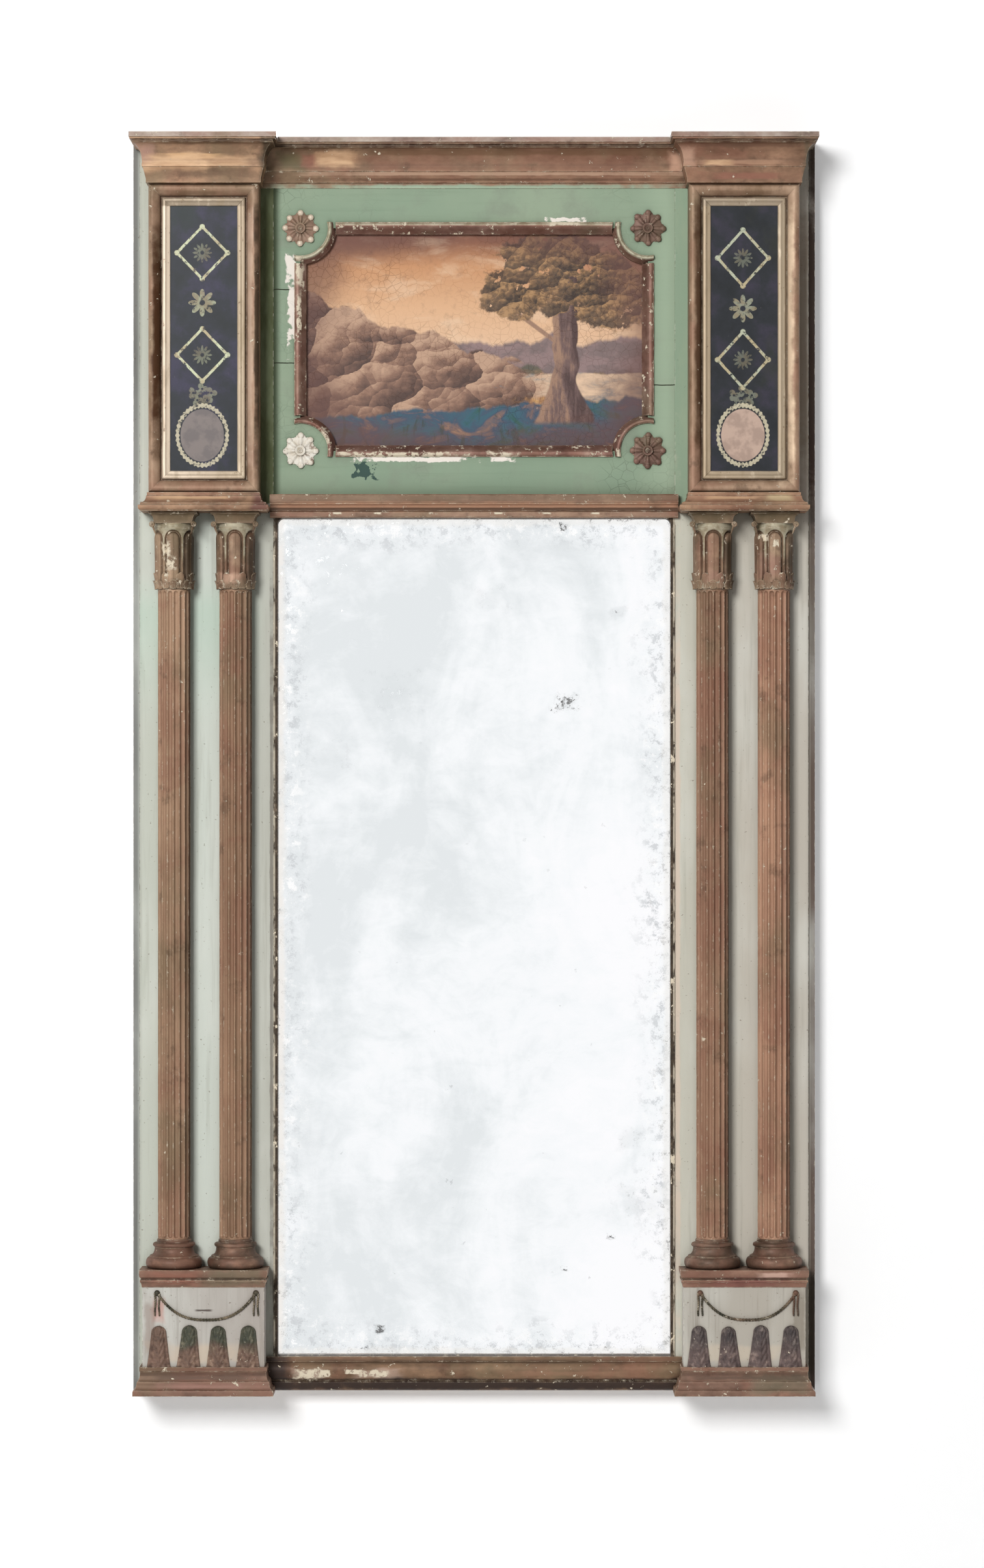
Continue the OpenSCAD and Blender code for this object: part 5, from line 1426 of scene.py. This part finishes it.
# The shafts: turned wood, gilded, planed off flat behind and glued to the boards. The flutes
# are round-ended hollows, sixteen to the full round, between narrow arrises.
def shaft_tree():
    growth = Growth("fluted_shaft", Radius="Float", Height="Float", Flutes="Int", Deep="Float", Arris="Float",
                    Stop="Float", Around="Int", Rings="Int", Ends="Float", FluteShade="Float", Material="Material")
    given = growth.given
    body = growth.lay("GeometryNodeMeshCylinder", {"Vertices": given["Around"],
                                                   "Side Segments": given["Rings"], "Fill Segments": 1,
                                                   "Radius": given["Radius"], "Depth": 1.0}, out="Mesh",
                      fill_type="NGON")
    x, y, level = growth.apart(growth.lay("GeometryNodeInputPosition"))
    share = level + 0.5
    crowd = 0.22
    first = growth.lay("ShaderNodeMapRange", {0: share, 1: 0.0, 2: crowd, 3: 0.0, 4: given["Ends"]})
    last = growth.lay("ShaderNodeMapRange", {0: share, 1: 1 - crowd, 2: 1.0, 3: 0.0, 4: given["Ends"]})
    plain = given["Height"] - given["Ends"] * 2.0
    run = growth.lay("ShaderNodeMapRange", {0: share, 1: crowd, 2: 1 - crowd, 3: 0.0, 4: plain})
    up = first + run + last
    pitch = given["Radius"] * (2 * math.pi) / given["Flutes"]
    half = (pitch - given["Arris"]) / 2.0
    turn = reckon("ARCTAN2", x, y * -1.0)
    flute = reckon("FRACT", turn / (2 * math.pi) * given["Flutes"])
    off = abs(flute - 0.5) * pitch
    end = given["Stop"] + half
    past_low = end - up
    past_high = up - (given["Height"] - end)
    past = most(most(past_low, past_high), 0.0)
    across = (off / half) ** 2.0
    along = (past / half) ** 2.0
    scoop = 1.0 - across - along
    cut = reckon("SQRT", most(scoop, 0.0)) * given["Deep"]
    keep = (given["Radius"] - cut) / given["Radius"]
    # Painted shade: the flutes darken with their depth, and the right flank, away from the light, darkens
    # too.
    flute_shade = cut / given["Deep"] * given["FluteShade"]
    right_flank_shade = growth.lay("ShaderNodeMapRange", {0: turn, 1: 0.7, 2: 1.25, 3: 0.0, 4: 0.7})
    flute_shade = most(flute_shade, right_flank_shade)
    marked = growth.lay("GeometryNodeStoreNamedAttribute",
                        {"Geometry": body, "Name": "grime", "Value": flute_shade}, data_type="FLOAT",
                        domain="POINT")
    moved = growth.lay("ShaderNodeCombineXYZ", {0: x * keep, 1: y * keep, 2: up})
    return growth.end(growth.lay("GeometryNodeSetPosition", {"Geometry": marked, "Position": moved}))


fluted = shaft_tree()
shaft_tints = {"outer_left": ((176, 144, 118), (154, 124, 100), (122, 96, 74)),
               "inner_left": ((170, 136, 110), (147, 116, 93), (116, 90, 70)),
               "inner_right": ((172, 136, 112), (150, 116, 94), (118, 90, 72)),
               "outer_right": ((184, 144, 118), (162, 124, 101), (126, 94, 76))}
for place in places:
    node = "shaft_" + place
    low, high, foot = column_place(node)
    finish = gilding(node + "_bronze", shaft_tints[place], chips=1.1, along=(0.8, 1, 0.07), pale=0.45,
                     dirt_and_shade=0.0028)
    tall = high.z - low.z
    sizes = {"Radius": base_r, "Height": tall, "Flutes": 16, "Deep": 0.0027, "Arris": 0.0018, "Stop": 0.002,
             "Around": 256, "Rings": 100, "Ends": 0.016, "FluteShade": 0.22, "Material": finish}
    piece = fluted.grow("fluted_" + node, bpy.data.meshes.new("empty"), foot, sizes, 32, high.y)
    shape = piece.data
    level_points = uneven([corner.co for corner in shape.vertices], 0.00018, 0.03)
    for corner, spot in zip(shape.vertices, level_points):
        corner.co = (spot[0], min(spot[1], high.y), min(max(spot[2], low.z), high.z))
    seat(piece, finish, node)


# The capitals: a bell with six tall round-headed tongues sunk in pale fields, a ring of
# small curled leaves at its foot, and a low square abacus with a small curl at each corner.
bell_r, tongue_total = 0.0235, 6
arch_half, arch_drop = 0.0106, 0.0085


def bell_radius(turn, v, tall):
    """The carved surface of the bell and how pale it is: tongues sunk between plain fields."""
    pitch = 2 * math.pi / tongue_total
    side_way = ((turn / pitch + 0.5) % 1.0 - 0.5) * pitch * bell_r
    up = v * tall
    base = float(np.interp(v, [0, 0.02, 0.05, 0.12, 0.3, 0.88, 0.93, 0.95, 1.0],
                           [0.0205, 0.0212, 0.0228, 0.0225, 0.0222, 0.0228, 0.0246, 0.0252, 0.0252]))
    head = tall - arch_drop - arch_half
    inside = arch_half - (abs(side_way) if up < head else math.hypot(side_way, up - head))
    upper = min(1.0, max(0.0, (v - 0.42) / 0.1))
    if v < 0.1 or inside < -0.0004:
        field = 0.0008 if 0.1 <= v < 0.93 else 0.0
        return base + field, upper
    groove = 0.003
    if inside < groove:
        depth = math.sin(math.pi * min(1.0, max(0.0, (inside + 0.0004) / (groove + 0.0004))))
        return base + 0.0008 - 0.0028 * depth, 0.0
    swell = min(1.0, (inside - groove) / 0.003)
    rib = 0.0006 * math.exp(-(side_way / 0.0008) ** 2)
    return base + 0.0008 + 0.0016 * math.sqrt(swell * (2 - swell)) + rib, 0.0


def carved_bell(centre, tall, back):
    around, up = 288, 96
    rows, pale = [], []
    for i in range(up + 1):
        v = i / up
        row = []
        for j in range(around):
            turn = 2 * math.pi * j / around
            radius, field = bell_radius(turn, v, tall)
            row.append((centre[0] + radius * math.sin(turn), min(centre[1] - radius * math.cos(turn), back),
                        centre[2] + v * tall))
            pale.append(field)
        rows.append(row)
    points, faces = skin(rows)
    return points, faces, pale


abacus_line = [(0, 0), (0, 0.12)] + arc(0, 0.12, 0.85, 0.66, False) + [(1, 0.8), (1, 1)]


def neck_width(v):
    lobes = 0.82 + 0.18 * abs(math.sin(3.2 * math.pi * v))
    return 0.0062 * lobes * math.sqrt(max(0.02, 1 - v ** 3)) * (0.75 + 0.35 * math.sin(math.pi * v))


def neck_height(u, v):
    rib = 0.0007 * math.cos(4.5 * math.pi * u) * (1 - v)
    curl = 0.0034 * v ** 2.2
    return 0.0008 + 0.0009 * math.sqrt(max(0.0, 1 - u * u)) + 0.5 * rib + curl


def neck_leaf(length, small=1.0):
    points, faces = relief(lambda v: small * neck_width(v), length, neck_height, 15, 21)
    out = 0.0222
    bent = []
    for x, y, z in points:
        tip = z / length
        reach = out - y
        drop = 0.0016 * max(0.0, tip - 0.82) / 0.18
        bent.append((reach * math.sin(x / out), -reach * math.cos(x / out), z - drop))
    return bent, faces


curl_r = 0.0036


def corner_curl(x, y, z, side):
    """A small scroll that hangs under a corner of the abacus, seen from its end, and its stalk."""
    roll = revolved([(0.25 * curl_r, -0.0022), (0.9 * curl_r, -0.002), (curl_r, -0.0012), (curl_r, 0.0012),
                     (0.9 * curl_r, 0.002), (0.62 * curl_r, 0.0023), (0.5 * curl_r, 0.0015),
                     (0.3 * curl_r, 0.0015), (0.25 * curl_r, 0.0024), (0.1 * curl_r, 0.0026)], (x, y, z), 24,
                    True)
    stalk = []
    for i in range(9):
        share = i / 8
        across = x - side * (0.2 * curl_r + 0.0032 * share)
        up = z - 0.4 * curl_r - 0.01 * share
        thick = 0.0016 * (1 - 0.6 * share)
        inward = y + 0.0055 * share
        stalk.append([(across + thick * math.cos(2 * math.pi * j / 8),
                       inward + thick * math.sin(2 * math.pi * j / 8), up) for j in range(8)])
    return [roll, skin(stalk)]


neck_copies = copies_tree("copies_round_the_neck", 2)
big_leaf = mesh_of("neck_leaf", [neck_leaf(0.0215)])
small_leaf = mesh_of("small_neck_leaf", [neck_leaf(0.0125, 0.75)])
bare_spots = {"outer_left": [(-0.38, 1.04, 0.006, 0.01), (-0.374, 1.024, 0.008, 0.01)],
              "outer_right": [(0.372, 1.049, 0.004, 0.005), (0.359, 1.056, 0.005, 0.005)]}
# Pale patches on the neck leaves of the left capitals are painted highlights; the reddish ones on the right
# capitals are stains.
neck_highlights_and_stains = {"outer_left": (-0.366, 1.01, 0.026, 0.01, (186, 158, 128), 0.35),
               "inner_left": (-0.3, 1.006, 0.018, 0.008, (206, 170, 146), 0.5),
               "inner_right": (0.3, 1.01, 0.02, 0.012, (150, 112, 98), 0.5),
               "outer_right": (0.366, 1.02, 0.02, 0.02, (150, 112, 98), 0.5)}
for number, place in enumerate(places):
    node = "capital_" + place
    low, high, centre = column_place(node)
    abacus_tall, abacus_reach = 0.0145, 0.006
    bell_tall = high.z - low.z - abacus_tall
    # Painted shade on the capital's right flank, and a painted shadow on the abacus under the architrave.
    flank_shade = (centre[0] + 0.0205, 1.03, 0.01, 0.045, (54, 44, 32), 0.85)
    abacus_shadow = (centre[0], high.z - abacus_tall / 2, 0.05, 0.012, (86, 78, 56), 0.6)
    finish = gilding(node + "_bronze", ((166, 140, 114), (130, 106, 86), (80, 66, 50)),
                     chips=2.0, bare=bare_spots.get(place, []), along=(1, 1, 0.7), fields=True,
                     stains_and_painted_light=[neck_highlights_and_stains[place], flank_shade, abacus_shadow])
    points, faces, fields = carved_bell(centre, bell_tall, high.y)
    bell = carve("bell_" + node, [(points, faces)], 50, field=fields)
    sizes = {"Count": 8, "First": math.pi / 8, "Turn": math.pi / 4, "Step": 0.0, "Uneven": 0.04,
             "Seed": 31 + number, "Material": finish}
    leaves = neck_copies.grow("leaves_" + node, big_leaf.copy(), (centre[0], centre[1], centre[2] + 0.001),
                              sizes, back=high.y)
    sizes.update({"First": 0.0, "Seed": 61 + number})
    low_leaves = neck_copies.grow("low_leaves_" + node, small_leaf.copy(),
                                  (centre[0], centre[1], centre[2] + 0.0005), sizes, back=high.y)
    half = (high.x - low.x) / 2 - abacus_reach
    rows = []
    for r, z in scaled(abacus_line, abacus_reach, abacus_tall):
        row = round_a_block(half + r, column_out + half + r, 24, 24)
        rows.append([(centre[0] + a, high.y + b, centre[2] + bell_tall + z) for a, b in row])
    points, faces = skin(rows)
    shells = [(uneven(points, 0.0003, 0.012, lambda p: p.y > high.y - 1e-5), faces)]
    for side_x in (-1, 1):
        corner = half + 0.5 * curl_r
        shells += corner_curl(centre[0] + side_x * corner, high.y - column_out - corner,
                              centre[2] + bell_tall - 0.4 * curl_r, side_x)
    abacus = carve("abacus_" + node, shells)
    piece = join("a", bell, leaves)
    piece = join("b", piece, low_leaves)
    piece = join("carved_" + node, piece, abacus)
    seat(piece, finish, node)


# The plinths: pale painted boxes under the columns, each with four carved leaves that stand
# on the foot and a twisted rope hung from two pins, once bronzed like the mouldings.
plinth_paint = distemper("plinth_paint", [(-0.405, (174, 168, 160)), (-0.29, (172, 164, 156)),
                                          (0.29, (180, 174, 163)), (0.405, (174, 166, 154))],
                         (120, 108, 96), 1.8,
                         stains_and_painted_light=[(-0.388, 0.105, 0.01, 0.018, (196, 150, 138), 0.7),
                                 (-0.398, 0.085, 0.008, 0.04, (150, 132, 122), 0.6),
                                 (-0.333, 0.052, 0.07, 0.014, (204, 184, 160), 0.6),
                                 (0.333, 0.052, 0.07, 0.012, (206, 190, 168), 0.5),
                                 (-0.333, 0.1045, 0.014, 0.0016, (84, 74, 68), 0.9),
                                 (0.4, 0.09, 0.01, 0.05, (128, 118, 104), 0.6)])
recoat(plinth_paint, "plinth_block_left", "plinth_block_right")


def upright_width(v):
    wide, top = 0.0146, 0.0092
    head = 0.83
    if v < head:
        return wide - (wide - top) * (v / head) ** 0.85
    return top * math.sqrt(max(0.03, 1 - ((v - head) / (1 - head)) ** 2))


def upright_height(u, v):
    body = 0.0036 * math.sqrt(max(0.0, 1 - 0.92 * u * u))
    rib = 0.0008 * math.exp(-(u / 0.13) ** 2) * (1 - v ** 4)
    veins = 0.0007 * math.cos(2 * math.pi * (5 * v - 2.2 * abs(u))) * min(1.0, 4 * abs(u)) * (1 - abs(u))
    hollow = -0.0011 * math.exp(-((abs(u) - 0.72) / 0.12) ** 2)
    return max(0.0003, body + rib + veins + hollow)


leaf_copies = copies_tree("copies_in_a_row", 1)
leaf_mesh = mesh_of("upright_leaf", [relief(upright_width, 0.0505, upright_height, 25, 61)])


def leaf_finish(name, heads, feet):
    """Dark old paint on the heads, another brown below, and painted shade between the veins."""
    leaf = Finish(name)
    foot_level = 0.035
    height = leaf.z - foot_level
    ragged = (leaf.mottle(60, 4) - 0.5) * 0.045
    head = leaf.between(height + ragged, 0.014, 0.036)
    grain = leaf.mottle(120, 5, 0.66)
    on_foot = leaf.tone(grain, [(0.34, feet[0]), (0.54, feet[1]), (0.72, feet[2])])
    on_head = leaf.tone(grain, [(0.36, heads[0]), (0.56, heads[1]), (0.74, heads[2])])
    leaf.tint = leaf.mix(head, on_foot, on_head)
    first_left = -0.371
    browner = leaf.tone(grain, [(0.34, (82, 62, 52)), (0.56, (118, 92, 78)), (0.74, (150, 120, 102))])
    leaf.wash(leaf.between(leaf.x, first_left + 0.002, first_left - 0.002) * 0.85, browner)
    rub = leaf.edge(0.0012) * leaf.flecks(0.42, 0.62, 160, 4)
    leaf.wash(rub * 0.6, (170, 156, 138))
    # Painted shade between the veins and leaves.
    leaf.wash(leaf.crevice(0.005) * 0.85, (34, 28, 24))
    chips = leaf.flecks(0.66, 0.69, 130, 5, 0.68)
    leaf.wash(chips, gesso_white)
    return leaf.lay_on(0.6, leaf.mottle(240, 4, 0.6), 0.0003, metal=0.1, gloss=0.3)


leaf_tints = {"left": (((44, 48, 38), (70, 70, 56), (128, 120, 100)),
                       ((80, 60, 50), (114, 90, 76), (156, 130, 110))),
              "right": (((48, 42, 42), (78, 68, 66), (128, 116, 108)),
                        ((66, 54, 52), (98, 82, 78), (148, 128, 118)))}


def rope_tree():
    """Two strands twisted round the path that the piece gives, thinner towards its end by Taper."""
    growth = Growth("twisted_rope", Radius="Float", Pitch="Float", Taper="Float", Step="Float",
                    Material="Material")
    given = growth.given
    path = growth.lay("GeometryNodeMeshToCurve", {0: given["Piece"]})
    path = growth.lay("GeometryNodeResampleCurve", {"Curve": path, "Length": given["Step"]}, mode="LENGTH")
    strands = []
    for phase in (0.0, math.pi):
        factor = growth.lay("GeometryNodeSplineParameter", out="Factor")
        length = growth.lay("GeometryNodeSplineParameter", out="Length")
        turn = length * (2 * math.pi) / given["Pitch"] + phase
        normal = growth.lay("GeometryNodeInputNormal")
        tangent = growth.lay("GeometryNodeInputTangent")
        side = growth.lay("ShaderNodeVectorMath", {0: tangent, 1: normal}, operation="CROSS_PRODUCT")
        thick = 1.0 - factor * given["Taper"]
        swing = given["Radius"] * 0.48 * thick
        a = growth.lay("ShaderNodeVectorMath", {0: normal, "Scale": reckon("COSINE", turn) * swing},
                       operation="SCALE")
        b = growth.lay("ShaderNodeVectorMath", {0: side, "Scale": reckon("SINE", turn) * swing},
                       operation="SCALE")
        off = growth.lay("ShaderNodeVectorMath", {0: a, 1: b}, operation="ADD")
        strand = growth.lay("GeometryNodeSetPosition", {"Geometry": path, "Offset": off})
        strand = growth.lay("GeometryNodeSetCurveRadius", {"Curve": strand, "Radius": thick})
        ring = growth.lay("GeometryNodeCurvePrimitiveCircle",
                          {"Resolution": 8, "Radius": given["Radius"] * 0.56})
        strands.append(growth.lay("GeometryNodeCurveToMesh",
                                  {"Curve": strand, "Profile Curve": ring, "Fill Caps": True}))
    both = lay(growth.tree, "GeometryNodeJoinGeometry")
    for strand in strands:
        growth.tree.links.new(strand.socket, both.inputs[0])
    return growth.end(both.outputs[0])


def path_mesh(name, points):
    mesh = bpy.data.meshes.new(name)
    mesh.from_pydata(points, [(i, i + 1) for i in range(len(points) - 1)], [])
    return mesh


rope = rope_tree()
swag_drop, swag_fullness, swag_shift, swag_low, rope_radius = 0.033, 2.7, 0.004, 0.007, 0.0018
tail_length, tails_apart = 0.028, 0.0048
swag_widths = {"left": 0.1215, "right": 0.1175}
leaf_steps = {"left": 0.0365, "right": 0.0375}
swag_finish = gilding("swag_bronze", ((92, 84, 68), (66, 64, 52), (44, 46, 38)))
for side in ("left", "right"):
    low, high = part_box("plinth_leaves_" + side)
    block_low, block_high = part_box("plinth_block_" + side)
    middle = (block_low.x + block_high.x) / 2
    face = block_low.y
    green = leaf_finish("leaf_paint_" + side, *leaf_tints[side])
    sizes = {"Count": 4, "First": 0.0, "Turn": 0.0, "Step": leaf_steps[side], "Uneven": 0.03,
             "Seed": 5 if side == "left" else 9, "Material": green}
    leaves = leaf_copies.grow("carved_plinth_leaves_" + side, leaf_mesh.copy(), (middle, face, low.z), sizes,
                              back=face)
    seat(leaves, green, "plinth_leaves_" + side)
    middle += swag_shift
    swag_width = swag_widths[side]
    hang = block_high.z - swag_low
    out = face - 0.85 * rope_radius
    curve = [(middle + swag_width / 2 * t / 24, out, hang - swag_drop * (1 - abs(t / 24) ** swag_fullness))
             for t in range(-24, 25)]
    sizes = {"Radius": rope_radius, "Pitch": 0.0075, "Taper": 0.0, "Step": 0.0009, "Material": swag_finish}
    swag = rope.grow("swag_rope_" + side, path_mesh("swag_path", curve), (0, 0, 0), sizes, 60)
    for end in (-1, 1):
        pin = (middle + end * swag_width / 2, face, hang)
        head = revolved([(0.0034, 0), (0.0036, 0.0012), (0.003, 0.003), (0.0018, 0.0038), (0.0006, 0.004)],
                        pin, 20, True)
        swag = join("swag", swag, carve("pin", [head]))
        for tail in (-1, 1):
            top = pin[0] + tail * tails_apart / 2
            line = [(top + 0.0004 * math.sin(1.7 * t / 3 + tail), out, hang - tail_length * t / 12)
                    for t in range(13)]
            sizes = {"Radius": 0.0014, "Pitch": 0.006, "Taper": 0.45, "Step": 0.0009, "Material": swag_finish}
            tassel = rope.grow("tail", path_mesh("tail_path", line), (0, 0, 0), sizes, 60)
            swag = join("swag", swag, tassel)
    seat(swag, swag_finish, "plinth_swag_" + side)
    swag.name = "swag_and_tails_" + side
